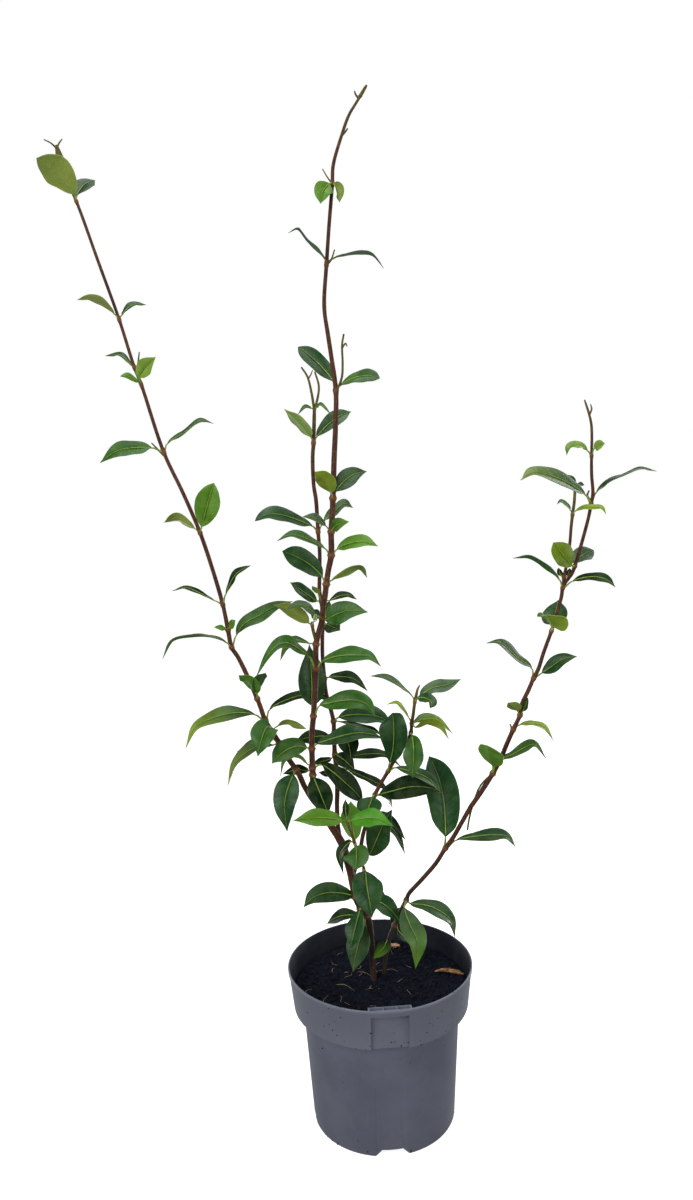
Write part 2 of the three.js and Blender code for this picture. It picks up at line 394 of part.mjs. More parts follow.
  ["", "right", 147, 147, [
    [9, 0.8, 0.8, "vdark", "vdark", [[14.5, 143.5, 8], [18, 138.5, 11], [25, 134, 14]]],
  ]],
  ["right_group_166", "right", 166.5, 166.5, [
    [16, 0.65, 0.65, "grey", "grey", [[24.1, 164, 0], [34.6, 162.8, -5], [45.6, 158.3, -9], [55.6, 149.3, -12],
      [58.6, 135.8, -14]]],
    [18, 0.9, 0.9, "grey", "bright", [[20, 160.5, -5], [24, 147, -14], [29.5, 133, -20], [27.5, 111.5, -23]]],
    [14, 0.85, 0.85, "vdark", "vdark", [[17.5, 161, 8], [15, 153, 15], [21.5, 135, 20]]],
  ]],
  ["right_pair_206", "right", 206, 206, [
    [26, 0.97, 0.97, "dark", "dark", [[52.3, 215, -3], [52.5, 228, 4], [51.5, 245, 9], [48, 262, 13],
      [42, 277, 15]]],
    [16, 0.5, 0.5, "mid", "mid", [[60.5, 212.3, -8], [75, 215, -14], [90, 215.5, -19], [99, 214, -22],
      [105.5, 205.5, -24]]],
  ]],
  ["right_pair_262", "right", 262.5, 262.5, [
    [20, -0.8, -0.8, "grey", "grey", [[89, 268, -20], [87.5, 276.2, -28], [85.8, 285.2, -36]]],
    [14, 0.45, 0.45, "mid", "mid", [[92.5, 272, -21.5], [103, 276.5, -24], [113, 282, -26], [120.5, 284, -28],
      [129.5, 272.8, -30]]],
  ]],
  ["", "right", 295.3, 295.3, [
    [10, 0.4, 0.4, "yellow", "yellow", [[109, 298.8, -21], [118, 299.7, -24], [127, 297, -27], [135.2, 285.6, -30]]],
  ]],
  ["", "right", 306, 306, [
    [10, -0.8, -0.8, "olive", "olive", [[108, 309, -23], [105, 313, -28], [100.5, 316.5, -33]]],
    [6, 0.8, 0.8, "dark", "dark", [[111.3, 308.5, -22], [113.5, 313.5, -23], [115.5, 319, -25]]],
  ]],
  ["right_pair_333", "right", 333.3, 333.3, [
    [13, 0.35, -0.4, "dark", "olive", [[118.8, 341, -22], [108, 350, -20], [96, 361.5, -17], [85.5, 361.7, -15]]],
    [12, 0.85, 0.85, "dark", "dark", [[125.9, 337, -23], [133.4, 342, -26], [141.4, 347, -29], [151.9, 349, -33]]],
  ]],
  ["right_pair_368", "right", 368, 368, [
    [20, 0.9, 0.9, "dark", "dark", [[134.5, 372.5, -19], [136, 380, -12], [138.5, 391.5, -6]]],
    [22, -0.8, -0.8, "olive", "olive", [[134.3, 371.5, -29], [134.5, 376.5, -38], [131.5, 382, -47]]],
  ]],
  ["right_pair_401", "right", 399.5, 399.5, [
    [13, -0.25, -0.25, "mid", "mid", [[139.8, 406, -26], [129, 416, -29], [118, 423, -32], [105.9, 423.6, -35]]],
    [13, 0.45, 0.45, "dark", "dark", [[149.5, 404.5, -28], [158, 407, -32], [168, 407, -36], [176, 404, -39],
      [181, 399.5, -41]]],
  ]],
  ["", "twig", 407, 407, [
    [5, 0.8, 0.8, "vdark", "vdark", [[141.5, 408, -21], [140, 411, -19], [139.5, 414.5, -17]]],
    [5, 0.8, 0.8, "vdark", "vdark", [[145.5, 408, -20], [146.5, 411, -18], [147, 414, -16]]],
  ]],
  ["right_pair_415", "right", 415, 415, [
    [16, 0.9, 0.9, "mossy", "mossy", [[149, 415.5, -31], [145, 421, -35], [140.5, 427, -37], [136, 433, -36]]],
    [14, 0.85, 0.85, "grey", "grey", [[151, 417, -22], [153.6, 421, -16], [158.6, 424.5, -11], [165.1, 427, -6]]],
  ]],
  ["twig_pair_452", "twig", 452.6, 452.6, [
    [5.5, 0.5, 0.5, "mid", "mid", [[148.3, 456, -15], [145.5, 460, -12], [141, 462.7, -9], [138, 460.5, -7]]],
    [6, 0.6, 0.6, "yellow", "yellow", [[151.5, 455, -21], [157, 457.5, -29], [164, 457.5, -36], [171, 457, -40],
      [174.5, 452, -42]]],
  ]],
  ["right_pair_460", "right", 460, 460, [
    [17, 0.7, 0.7, "grey", "olive", [[159, 467, -32], [150, 474, -36], [135, 481.5, -42], [121, 484.5, -46],
      [112, 480, -49]]],
    [13, -0.45, 0.45, "olive", "grey", [[167, 468.5, -27], [176, 476, -22], [187, 480.5, -17], [199, 484.5, -12],
      [211, 482.5, -6]]],
  ]],
  ["", "twig", 472, 472, [
    [5, 0.8, 0.8, "dark", "dark", [[151.5, 475, -13], [149.5, 478, -11], [147, 481.5, -10]]],
    [3.5, 0.8, 0.8, "dark", "dark", [[153, 473.5, -13], [156, 474.3, -12], [158.7, 473.5, -11]]],
  ]],
  ["right_pair_494", "right", 494.3, 494.3, [
    [8, 0.6, 0.6, "lime", "mid", [[161, 498, -32], [157, 502, -34], [151, 502.5, -37], [147, 500.5, -40],
      [145.3, 495.5, -42]]],
    [8, 0.85, 0.85, "lime", "lime", [[165.5, 499.5, -32], [168.5, 501.5, -36], [173, 503, -40]]],
  ]],
];

const TONES = {
  vdark: 0x1f3a24, dark: 0x2e5032, grey: 0x4f6a52, mid: 0x3c692d, mossy: 0x67821f, bright: 0x5a9632,
  light: 0x6a9a3a, vivid: 0x50a014, lime: 0x86b04a, yellow: 0x96aa3c, olive: 0x78843c, pale: 0x96aa64,
};

// A material of its own for a piece
function finish(color, roughness) {
  return new THREE.MeshStandardMaterial({ color, roughness, metalness: 0 });
}

// A named mesh from a solid
function meshOf(name, solid, color, roughness) {
  const made = solid.getMesh();
  const geometry = new THREE.BufferGeometry();
  const places = new Float32Array(made.numVert * 3);
  for (let i = 0; i < made.numVert; i++) {
    places.set(made.vertProperties.subarray(i * made.numProp, i * made.numProp + 3), i * 3);
  }
  geometry.setAttribute("position", new THREE.BufferAttribute(places, 3));
  geometry.setIndex(new THREE.BufferAttribute(made.triVerts, 1));
  geometry.computeVertexNormals();
  const mesh = new THREE.Mesh(geometry, finish(color, roughness));
  mesh.name = name;
  return mesh;
}

// A closed solid through rings that hold the same number of points. On a ring of four, such as a blade's edges and
// middles, every second face is split the other way, so that the creases of both skins run alike.
function loft(rings) {
  const around = rings[0].length;
  const places = rings.flat().flatMap((p) => [p.x, p.y, p.z]);
  const faces = [];
  for (let i = 0; i + 1 < rings.length; i++) {
    for (let j = 0; j < around; j++) {
      const a = i * around + j;
      const b = i * around + ((j + 1) % around);
      if (around === 4 && j % 2 === 1) faces.push(a, b, a + around, b, b + around, a + around);
      else faces.push(a, b, b + around, a, b + around, a + around);
    }
  }
  const last = (rings.length - 1) * around;
  for (let j = 1; j + 1 < around; j++) {
    faces.push(0, j + 1, j);
    faces.push(last, last + j, last + j + 1);
  }
  const build = (order) =>
    new Manifold(new Mesh({
      numProp: 3,
      vertProperties: new Float32Array(places),
      triVerts: new Uint32Array(order),
    }));
  const solid = build(faces);
  return solid.volume() > 0 ? solid : build([...faces].reverse());
}

// A solid turned about the Z axis from radius, height points
function turned(profile) {
  return Manifold.revolve([profile], AROUND);
}

// A place on a route, moved from the plane y = 0 to its depth as seen from the front point
function place([x, z, y]) {
  const grow = 1 - y / FRONT_POINT.y;
  return new THREE.Vector3(
    FRONT_POINT.x + (x - FRONT_POINT.x) * grow,
    y,
    FRONT_POINT.z + (z - FRONT_POINT.z) * grow,
  );
}

// A value at a place in a list of place, value pairs
function between(list, at) {
  const next = list.findIndex(([here]) => here >= at);
  if (next === 0) return list[0][1];
  if (next < 0) return list[list.length - 1][1];
  const [a, va] = list[next - 1];
  const [b, vb] = list[next];
  return va + ((vb - va) * (at - a)) / (b - a);
}

// The place on a cane's route at a height
function onRoute(route, z) {
  const next = Math.max(1, route.findIndex((p) => p[1] >= z));
  const [a, b] = [route[next - 1], route[next]];
  const share = (z - a[1]) / (b[1] - a[1]);
  return a.map((v, i) => v + (b[i] - v) * share);
}

// A round tube along a route, its radius given for each point
function tube(route, radii, grow = 0, sides = STEM_SIDES) {
  const points = route.map(place);
  const curve = new THREE.CatmullRomCurve3(points, false, "centripetal");
  const rings = points.map((point, i) => {
    const along = curve.getTangent(i / (points.length - 1));
    const side = new THREE.Vector3(0, 1, 0).cross(along).normalize();
    const up = along.clone().cross(side);
    return Array.from({ length: sides }, (_, j) => {
      const turn = (2 * Math.PI * j) / sides;
      return point.clone()
        .addScaledVector(side, Math.cos(turn) * (radii[i] + grow))
        .addScaledVector(up, Math.sin(turn) * (radii[i] + grow));
    });
  });
  return loft(rings);
}

// A cane as a tube, or the room it needs when grown by the gap
function caneSolid(cane, grow = 0) {
  const radii = cane.route.map((p) => between(cane.radius, p[1]));
  const route = cane.route.map((p) => [...p]);
  route[0][1] -= grow * 1.5;
  route[route.length - 1][1] += grow * 1.5;
  return tube(route, radii, grow);
}

// A collar that clasps a cane from one height to another
function collarSolid(cane, low, high) {
  const ends = [low - COLLAR_HALF_LENGTH, high + COLLAR_HALF_LENGTH];
  const heights = low === high ? ends : [ends[0], low, high, ends[1]];
  const route = heights.map((z) => onRoute(cane.route, z));
  const radii = route.map((p) => between(cane.radius, p[1]) + GAP + COLLAR_WALL);
  return tube(route, radii);
}

// The place where a leaf's stalk leaves a cane, that far from the cane's surface on the leaf's side
function stalkStart(cane, height, blade, reach) {
  const axis = place(onRoute(cane.route, height));
  const along = place(onRoute(cane.route, height + 2)).sub(place(onRoute(cane.route, height - 2))).normalize();
  const outward = place(blade).sub(axis);
  outward.addScaledVector(along, -outward.dot(along)).normalize();
  return axis.addScaledVector(outward, between(cane.radius, height) + reach);
}

// A leaf: a thin stalk from the cane, then a folded blade that follows its route
function leafSolid(cane, height, [width, baseFace, tipFace, , , route], reach) {
  const points = [stalkStart(cane, height, route[0], reach), ...route.map(place)];
  const curve = new THREE.CatmullRomCurve3(points, false, "centripetal");
  const bladeStart = 1 / (points.length - 1);
  const stations = [0, 0.6].map((share) => ({ at: share * bladeStart, blade: -1 }));
  OUTLINE.forEach(([share]) => stations.push({ at: bladeStart + share * (1 - bladeStart), blade: share }));
  const frameAt = (at, share, sign) => {
    const point = curve.getPoint(at);
    const along = curve.getTangent(at);
    const toFront = FRONT_POINT.clone().sub(point).normalize();
    const facing = toFront.addScaledVector(along, -toFront.dot(along)).normalize();
    const across = along.clone().cross(facing);
    const face = baseFace + (tipFace - baseFace) * share;
    const up = facing.clone().multiplyScalar(face)
      .addScaledVector(across, sign * Math.sqrt(1 - face * face));
    return { point, along, up, across };
  };
  const middle = frameAt(bladeStart + 0.5 * (1 - bladeStart), 0.5, 1);
  const sign = middle.across.z >= 0 ? 1 : -1;
  const rings = stations.map(({ at, blade }) => {
    const { point, along, up } = frameAt(at, Math.max(blade, 0), sign);
    const side = up.clone().cross(along);
    const half = blade < 0 ? STALK_RADIUS : Math.max(0.15, (width / 2) * between(OUTLINE, blade));
    const lift = blade < 0 ? 0 : half * BLADE_FOLD;
    const thick = blade < 0 ? 2 * STALK_RADIUS : BLADE_THICKNESS * (blade > 0.95 ? 0.5 : 1);
    return [
      point.clone().addScaledVector(side, half).addScaledVector(up, lift),
      point.clone().addScaledVector(up, thick / 2),
      point.clone().addScaledVector(side, -half).addScaledVector(up, lift),
      point.clone().addScaledVector(up, -thick / 2),
    ];
  });
  return loft(rings);
}

// The largest body of a solid, without crumbs a cut leaves
function mainBody(solid) {
  return solid.simplify(FINEST_DETAIL).decompose().sort((a, b) => b.volume() - a.volume())[0];
}

// A block seen from outside at an angle around the pot: its widths below and above, its heights and radii
function block(turn, lowWidth, highWidth, low, high, inner, outer) {
  const rings = [[low, lowWidth], [high, highWidth]].map(([z, width]) => [
    new THREE.Vector3(-width / 2, -inner, z),
    new THREE.Vector3(width / 2, -inner, z),
    new THREE.Vector3(width / 2, -outer, z),
    new THREE.Vector3(-width / 2, -outer, z),
  ]);
  return loft(rings).rotate([0, 0, turn]);
}

// The pot: a turned shell with a flat panel in its band and four notches in its base edge
function potSolid() {
  let pot = turned([
    [0, 0], [BASE_RADIUS, 0], [BODY_TOP_RADIUS, BODY_TOP_Z], [BAND_LOW_RADIUS, BAND_LOW_Z],
    [RIM_RADIUS, POT_HEIGHT - 1.2], [RIM_RADIUS, POT_HEIGHT], [RIM_RADIUS - WALL, POT_HEIGHT],
    [BAND_LOW_RADIUS - WALL, BAND_LOW_Z + 1.8], [BODY_TOP_RADIUS - WALL, BODY_TOP_Z + 1.8],
    [BASE_RADIUS - WALL, FLOOR], [0, FLOOR],
  ]);
  const bossLow = BAND_LOW_Z + 0.9;
  const inside = turned([
    [0, bossLow - 1], [BAND_LOW_RADIUS - 0.5, bossLow - 1], [RIM_RADIUS - 0.6, BOSS_TOP_Z + 1], [0, BOSS_TOP_Z + 1],
  ]);
  const panelRadius = BAND_LOW_RADIUS - PANEL_DEPTH;
  const boss = block(PANEL_TURN, PANEL_WIDTH + 3, PANEL_WIDTH + 3, bossLow, BOSS_TOP_Z, panelRadius - 1.6, 75)
    .intersect(inside);
  const panel = block(PANEL_TURN, PANEL_WIDTH, PANEL_WIDTH, PANEL_LOW_Z, PANEL_HIGH_Z, panelRadius, 90);
  pot = pot.add(boss).subtract(panel);
  const floorBody = turned([[0, 0.5], [BASE_RADIUS - 0.5, 0.5], [BASE_RADIUS - 0.1, 8], [0, 8]]);
  for (const quarter of [0, 90, 180, 270]) {
    const turn = PANEL_TURN + quarter;
    const raised = block(turn, NOTCH_WIDTH + 3, NOTCH_WIDTH + 3, 0.5, NOTCH_HEIGHT + 2, 42, 60).intersect(floorBody);
    const notch = block(turn, NOTCH_WIDTH, NOTCH_TOP_WIDTH, -0.5, NOTCH_HEIGHT, 44, 62);
    pot = pot.add(raised).subtract(notch);
  }
  return mainBody(pot);
}

// The soil: fills the pot clear of its wall, its floor, the raised places and the panel's back
function soilSolid(rooms) {
  let soil = turned([
    [0, FLOOR + GAP], [BASE_RADIUS - WALL - GAP - 0.1, FLOOR + GAP],
    [BODY_TOP_RADIUS - WALL - GAP - 0.2, BODY_TOP_Z + 2.2], [BAND_LOW_RADIUS - WALL - GAP - 0.2, BAND_LOW_Z + 2.4],
    [65.6, SOIL_TOP_Z - 1], [40, SOIL_TOP_Z - 0.4], [0, SOIL_TOP_Z],
  ]);
  const panelRadius = BAND_LOW_RADIUS - PANEL_DEPTH;
  const bossRoom = block(PANEL_TURN, PANEL_WIDTH + 3.8, PANEL_WIDTH + 3.8, 85, 120, panelRadius - 2, 75);
  soil = soil.subtract(bossRoom);
  for (const quarter of [0, 90, 180, 270]) {
    soil = soil.subtract(
      block(PANEL_TURN + quarter, NOTCH_WIDTH + 3.8, NOTCH_WIDTH + 3.8, 0, NOTCH_HEIGHT + 2.4, 41.6, 62),
    );
  }
  for (const room of rooms) soil = soil.subtract(room);
  return mainBody(soil);
}

// Stems, each with the short leaves that are one with it
const stems = {};
const rooms = {};
for (const cane of Object.values(CANES)) {
  stems[cane.piece] = stems[cane.piece] ? stems[cane.piece].add(caneSolid(cane)) : caneSolid(cane);
  const room = caneSolid(cane, GAP);
  rooms[cane.piece] = rooms[cane.piece] ? rooms[cane.piece].add(room) : room;
}
for (const [piece, thick, thin, route] of BITS) {
  const radii = route.map((_, i) => thick + ((thin - thick) * i) / (route.length - 1));
  stems[piece] = stems[piece].add(tube(route, radii, 0, 5));
  rooms[piece] = rooms[piece].add(tube(route, radii, GAP, 5));
}

const root = new THREE.Group();
root.name = "potted_star_jasmine";
root.add(meshOf("pot", potSolid(), 0x555862, 0.5));
root.add(meshOf("soil", soilSolid([rooms.stem, rooms.right_stem]), 0x1d1714, 1));

for (const [name, caneName, low, high, leaves] of LEAVES) {
  const cane = CANES[caneName];
  const solids = leaves.map((leaf) => {
    const first = leaf[5][0][1];
    const height = Math.abs(first - high) < Math.abs(first - low) ? high : low;
    return leafSolid(cane, height, leaf, name ? GAP + COLLAR_WALL / 2 : -0.5);
  });
  if (!name) {
    for (const solid of solids) stems[cane.piece] = stems[cane.piece].add(solid);
    continue;
  }
  const joined = solids.reduce((all, solid) => all.add(solid), collarSolid(cane, low, high));
  const fitted = joined.subtract(rooms.stem).subtract(rooms.right_stem);
  root.add(meshOf(name, mainBody(fitted), TONES[leaves[0][3]], 0.45));
}
root.add(meshOf("stem", mainBody(stems.stem), 0x5c3c32, 0.7));
root.add(meshOf("right_stem", mainBody(stems.right_stem), 0x6a4638, 0.7));

// What lies on the soil: a curled dead leaf inside the rim, and a chip of bark
const deadLeaf = tube([[42, 104.9, 4], [48, 106, 4.5], [56, 105.6, 4], [62.5, 105.2, 3.5]], [0.6, 2.1, 2, 0.5], 0, 6)
  .scale([1, 1, 0.6]).translate([0, 0, 41.9]);
root.add(meshOf("dead_leaf", deadLeaf, 0x8a6a45, 0.9));
const chip = Manifold.cube([6, 5.5, 1.6], true).rotate([0, 8, 25]).translate([14.3, 53, 104.2]);
root.add(meshOf("bark_chip", chip, 0xb08a5a, 0.9));

export default root;
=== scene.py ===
# %% [markdown]
# # A star jasmine in a nursery pot
#
# The plant is a young climber: a few thin canes rise from a round plastic pot of dark soil and
# carry pairs of glossy leaves. A solid model gives the place and size of each piece, and
# this script builds the visible pieces round it: pot, soil, canes, leaf stalks and leaves, each
# with the finish of the real thing.
#
# All work below is in metres. The front is at -Y, and the pot stands on z = 0.

# %% Load the solid model
import math

import bpy
import numpy as np
from mathutils import Matrix, Vector, noise


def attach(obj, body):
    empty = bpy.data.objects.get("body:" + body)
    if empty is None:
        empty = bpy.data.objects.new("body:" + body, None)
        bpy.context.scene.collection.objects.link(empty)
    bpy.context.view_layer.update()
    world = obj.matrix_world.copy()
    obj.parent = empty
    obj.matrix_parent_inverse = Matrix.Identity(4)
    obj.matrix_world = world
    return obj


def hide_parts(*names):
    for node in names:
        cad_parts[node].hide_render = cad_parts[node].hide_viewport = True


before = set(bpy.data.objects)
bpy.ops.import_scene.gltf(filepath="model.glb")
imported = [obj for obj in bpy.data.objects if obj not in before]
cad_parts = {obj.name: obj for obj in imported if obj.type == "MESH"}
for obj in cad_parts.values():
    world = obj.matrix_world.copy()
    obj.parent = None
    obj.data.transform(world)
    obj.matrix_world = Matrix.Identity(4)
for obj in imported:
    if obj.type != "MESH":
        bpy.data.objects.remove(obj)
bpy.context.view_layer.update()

# %% [markdown]
# ## The camera
#
# The picture was taken from the front, level with the middle of the plant and a little above the
# pot, with the camera tilted down by about six degrees and turned by two. A camera object can be
# turned by angles, but a matrix of its right, up and backward directions says the same thing
# exactly, so that is used.

# %% Set up the camera
MM = 0.001
FRONT_POINT = np.array([-16, -654, 463]) * MM
pitch = math.radians(5.85)
roll = math.radians(-1.95)
ahead = Vector((0, math.cos(pitch), -math.sin(pitch)))
level_up = Vector((0, math.sin(pitch), math.cos(pitch)))
right = Vector((1, 0, 0)) * math.cos(roll) + level_up * math.sin(roll)
up = level_up * math.cos(roll) - Vector((1, 0, 0)) * math.sin(roll)
bpy.ops.object.select_all(action="DESELECT")
bpy.ops.object.camera_add(location=FRONT_POINT)
camera = bpy.context.object
turned_view = Matrix((right, up, -ahead)).transposed().to_4x4()
camera.matrix_world = Matrix.Translation(Vector(FRONT_POINT)) @ turned_view
camera.data.sensor_fit = "AUTO"
camera.data.sensor_width = 36
camera.data.lens = 27
bpy.context.scene.camera = camera
print("camera at", [round(v, 3) for v in camera.location])

# %% [markdown]
# ## Where everything grows
#
# The routes of canes and leaves are read in the picture. Each point holds x and z, in millimetres,
# where the line of sight crosses the plane y = 0, and then its real depth y. The solid model was
# built from nearly the same rows. A function moves each point along its line of sight to its depth.
#
# A cane holds the solid it belongs to, its radius at some heights and its route. A bit is a bud, a
# side shoot or a tendril, and its row holds its solid, its radius at the foot and the tip, and its
# route.
#
# A row of LEAVES holds the node that its leaves replace, their cane, their height on it and a row
# for each leaf. The name is empty where young leaves have no node of their own. A leaf's row holds
# the blade's width, how far its upper face looks to the front, its tone and its route. The face and
# the tone are pairs where the tip differs from the base, and the height is a pair where the leaves
# of a node grow at two heights.

# %% Cane and leaf rows
FOOT_Z = 78
CANES = {
    "left": {
        "piece": "stem",
        "radius": [
            [103, 2.3], [160, 2.7], [215, 2.7], [240, 1.8], [270, 1.7], [320, 1.5], [400, 1.3],
            [500, 1.15], [600, 1], [682, 0.9], [718, 0.7],
        ],
        "route": [
            [-5, FOOT_Z, 0], [-5, 103, 0], [-5.8, 129, 0], [-7.3, 150, -1], [-9.5, 157, -2],
            [-13, 162, -3], [-15.8, 168, -3.5], [-18, 178, -4.5], [-20, 190, -5], [-23, 203, -5],
            [-25.5, 212, -5], [-29, 219, -5], [-33.3, 226, -4], [-38, 234, -3], [-41.9, 241, -2.5],
            [-47, 248, -2], [-51.9, 257, -1], [-55.5, 266, 0], [-58.5, 271.5, 1],
            [-62.5, 277.8, 1.5], [-67, 286, 2.5], [-71.3, 294.3, 3.5], [-74.5, 300, 4],
            [-79, 308, 4.5], [-82.7, 320, 6], [-85.5, 328, 6.5], [-88.5, 336, 7], [-92, 345, 8],
            [-97.4, 357, 9.5], [-101.5, 364, 10], [-103.5, 377, 11], [-106.5, 396, 13],
            [-113, 423, 14.5], [-120.5, 449, 16], [-131, 477, 18], [-143.5, 507, 20],
            [-157, 555.5, 22], [-161, 567, 22], [-170, 601, 24], [-182, 640, 24], [-195, 682, 24],
            [-201, 697, 23], [-206, 710, 21], [-207, 718, 20],
        ],
    },
    "middle": {
        "piece": "stem",
        "radius": [
            [247, 1.75], [310, 1.6], [430, 1.6], [500, 1.5], [600, 1.1], [700, 0.95], [751, 0.7],
        ],
        "route": [
            [-46.5, 247, -2], [-46, 256, -2], [-45.6, 267, -2], [-45.5, 286, -3], [-44.8, 299, -3],
            [-43.4, 310.5, -3], [-42.3, 322, -3.5], [-41.3, 331, -4], [-40.2, 346, -5],
            [-39.5, 363.5, -5.5], [-38.5, 368, -5.5], [-36.2, 376, -6], [-34.6, 381, -6],
            [-33.4, 390, -6.5], [-31.5, 400, -7.5], [-30.3, 408, -8], [-28.5, 418, -8],
            [-26, 429, -8.5], [-25.4, 446, -9], [-24.2, 458, -9], [-23.3, 470, -9],
            [-21.3, 500, -9.5], [-19.7, 520, -10], [-18.5, 546, -10], [-20.9, 570, -10],
            [-22.8, 586, -11], [-24.5, 600, -11], [-24.5, 610, -12], [-22, 634, -12],
            [-19.3, 660, -13], [-16, 688, -14], [-15, 700, -14], [-8, 721, -13], [-3, 733, -13],
            [3, 742, -12], [8.5, 750, -12],
        ],
    },
    "inner": {
        "piece": "stem",
        "radius": [[218, 1.4], [306, 1.2], [360, 1.05], [540, 1]],
        "route": [
            [-27.3, 218, -5], [-28.3, 228, 0], [-28.3, 242, 5], [-27.6, 256, 9], [-27.8, 270, 12],
            [-28.6, 281, 14], [-28.6, 298, 15.5], [-28.7, 306, 16], [-30.2, 314, 16.5],
            [-32, 320.5, 17], [-33.6, 329, 17.5], [-34.3, 340, 18], [-35, 355, 17.5],
            [-34.5, 371, 16], [-33.8, 380, 15], [-34.5, 396, 13], [-35.5, 403, 13],
            [-35.2, 411, 13], [-34.3, 431, 13.5], [-34.9, 446.5, 14], [-35.2, 460, 15],
            [-35.6, 470, 15], [-36.8, 480, 16], [-36.8, 500, 17], [-35.8, 510, 18],
            [-34.3, 533.5, 20],
        ],
    },
    "front": {
        "piece": "stem",
        "radius": [[174, 1.1], [229, 0.9]],
        "route": [
            [-17, 174, -4], [-12.5, 181, -8], [-9.8, 191, -12], [-12.5, 201, -16], [-16, 212, -19],
            [-18.3, 220, -21], [-21, 229, -22], [-21.6, 232, -22.5],
        ],
    },
    "short": {
        "piece": "stem",
        "radius": [[184, 1.35], [249, 1.1], [326, 0.8]],
        "route": [
            [-18.8, 184, -4.5], [-15.5, 195, 0], [-12.5, 205, 3], [-9.5, 219, 5], [-6, 230, 6],
            [-2.5, 241, 6], [0.2, 249, 6], [5.5, 258.5, 5], [10.8, 267, 3], [15.7, 275, 1],
            [21, 282.5, -1], [25.5, 289, -3], [28.4, 295.5, -4], [29.2, 302.5, -6],
            [30.6, 310, -7.5], [31.9, 318.5, -9], [33.8, 326.5, -10],
        ],
    },
    "right": {
        "piece": "right_stem",
        "radius": [
            [103, 1.8], [170, 1.6], [270, 1.6], [333, 1.35], [368, 1.15], [401, 1.15], [467, 1.1],
            [534, 0.7],
        ],
        "route": [
            [2.5, FOOT_Z, 7], [2.5, 103, 7], [4, 118, 7], [7.5, 136, 6], [12, 147, 5],
            [18.5, 161, 3], [21.5, 166.5, 2], [23.3, 171, 1.5], [33, 181.5, -1], [44.3, 194.2, -4],
            [52, 206, -6], [57.7, 213.7, -7.5], [64.3, 224.8, -10], [71.4, 236.8, -12],
            [79.3, 248, -14], [88.7, 262.5, -16], [95, 274, -17.5], [98.8, 283, -19],
            [104.4, 295.3, -20], [109.5, 306, -20.5], [111, 314, -21], [115.8, 324, -21.5],
            [120, 333.3, -22], [123.5, 340, -22.5], [127.5, 352, -23], [133.5, 368, -24],
            [138.6, 384, -24.5], [141, 392.8, -25], [142.6, 401, -25], [148.7, 409.5, -26],
            [151, 415, -26], [156.7, 433.6, -27], [161.5, 451.2, -27.5], [163.2, 460, -28],
            [164.5, 467, -28.5], [163.7, 480.5, -29], [163.7, 494.3, -30], [164, 508, -30],
            [163.6, 517, -30], [161.9, 524.6, -30], [158.9, 534, -30],
        ],
    },
    "twig": {
        "piece": "right_stem",
        "radius": [[401, 1], [474, 0.9]],
        "route": [
            [142.6, 401, -25], [143, 407, -24], [145.2, 417, -21], [147.5, 431.6, -19],
            [148.6, 443.7, -18], [149.7, 452.6, -17], [151, 461.5, -16], [151.6, 470, -15],
            [152, 474, -15],
        ],
    },
    "stub": {
        "piece": "stem",
        "radius": [[366, 1.2], [380, 1]],
        "route": [[-39.3, 366.5, -5.5], [-41.4, 375.5, -6], [-41.9, 381, -6]],
    },
}

BITS = [
    ["stem", 0.8, 0.35, [[-159, 562, 22], [-158.6, 568, 21], [-157, 578, 20]]],
    ["stem", 0.7, 0.35, [[-142.8, 504, 20], [-147.5, 509, 19], [-152, 514, 18]]],
    ["stem", 2.1, 0.7, [[-203.4, 708.5, 21.4], [-204.3, 713, 20.8], [-206.4, 720, 20]]],
    ["stem", 0.6, 0.3, [[-206.2, 717.5, 20], [-210, 721.3, 18], [-215, 724, 16]]],
    ["stem", 0.6, 0.3, [[-206, 718, 20], [-204.6, 721, 21], [-202.2, 723.8, 23]]],
    ["stem", 1, 0.5, [[5, 745, -12], [9, 751, -12], [10, 752.5, -12]]],
    ["stem", 0.6, 0.35, [[4, 744, -12], [2, 747, -13], [1.5, 749, -14]]],
    ["stem", 0.7, 0.5, [[-18.5, 545, -10], [-14, 555, -13], [-13, 565, -14], [-13, 578, -14],
     [-11.5, 585.5, -14]]],
    ["stem", 0.6, 0.3, [[-13, 576, -14], [-10.5, 579, -15], [-9.5, 577, -17]]],
    ["stem", 0.6, 0.35, [[-22, 633, -12], [-18.5, 637, -14], [-16, 643.5, -14]]],
    ["stem", 0.5, 0.3, [[-16, 688, -14], [-19, 692, -12], [-22.5, 698, -10]]],
    ["stem", 0.6, 0.35, [[-8, 720, -13], [-5.5, 722.5, -11], [-4, 724.5, -11]]],
    ["stem", 0.8, 0.5, [[-34.3, 532, 20], [-36, 546, 22], [-38.5, 557, 24], [-42.5, 563.5, 24]]],
    ["stem", 0.8, 0.5, [[-34.3, 532, 20], [-30.5, 549, 22], [-33, 560, 24]]],
    ["stem", 0.5, 0.3, [[-38, 555, 24], [-36, 558, 25], [-34.6, 561, 27]]],
    ["stem", 0.8, 0.4, [[33.4, 325, -10], [34.4, 328.5, -10], [36, 331, -10]]],
    ["right_stem", 0.7, 0.4, [[163.5, 461, -28], [160.5, 466, -30], [161.8, 469.5, -31]]],
    ["right_stem", 0.7, 0.4, [[104.4, 295.3, -20], [103, 297, -19], [102, 299.5, -18]]],
    ["right_stem", 0.6, 0.3, [[162.2, 523, -30], [164, 527.5, -29], [163.2, 530.6, -28]]],
    ["right_stem", 0.55, 0.5, [[88.7, 262.5, -16], [84, 258.5, -15], [79, 253, -14], [74, 241, -10],
     [70.5, 229, -6], [68.8, 219.5, -4]]],
]

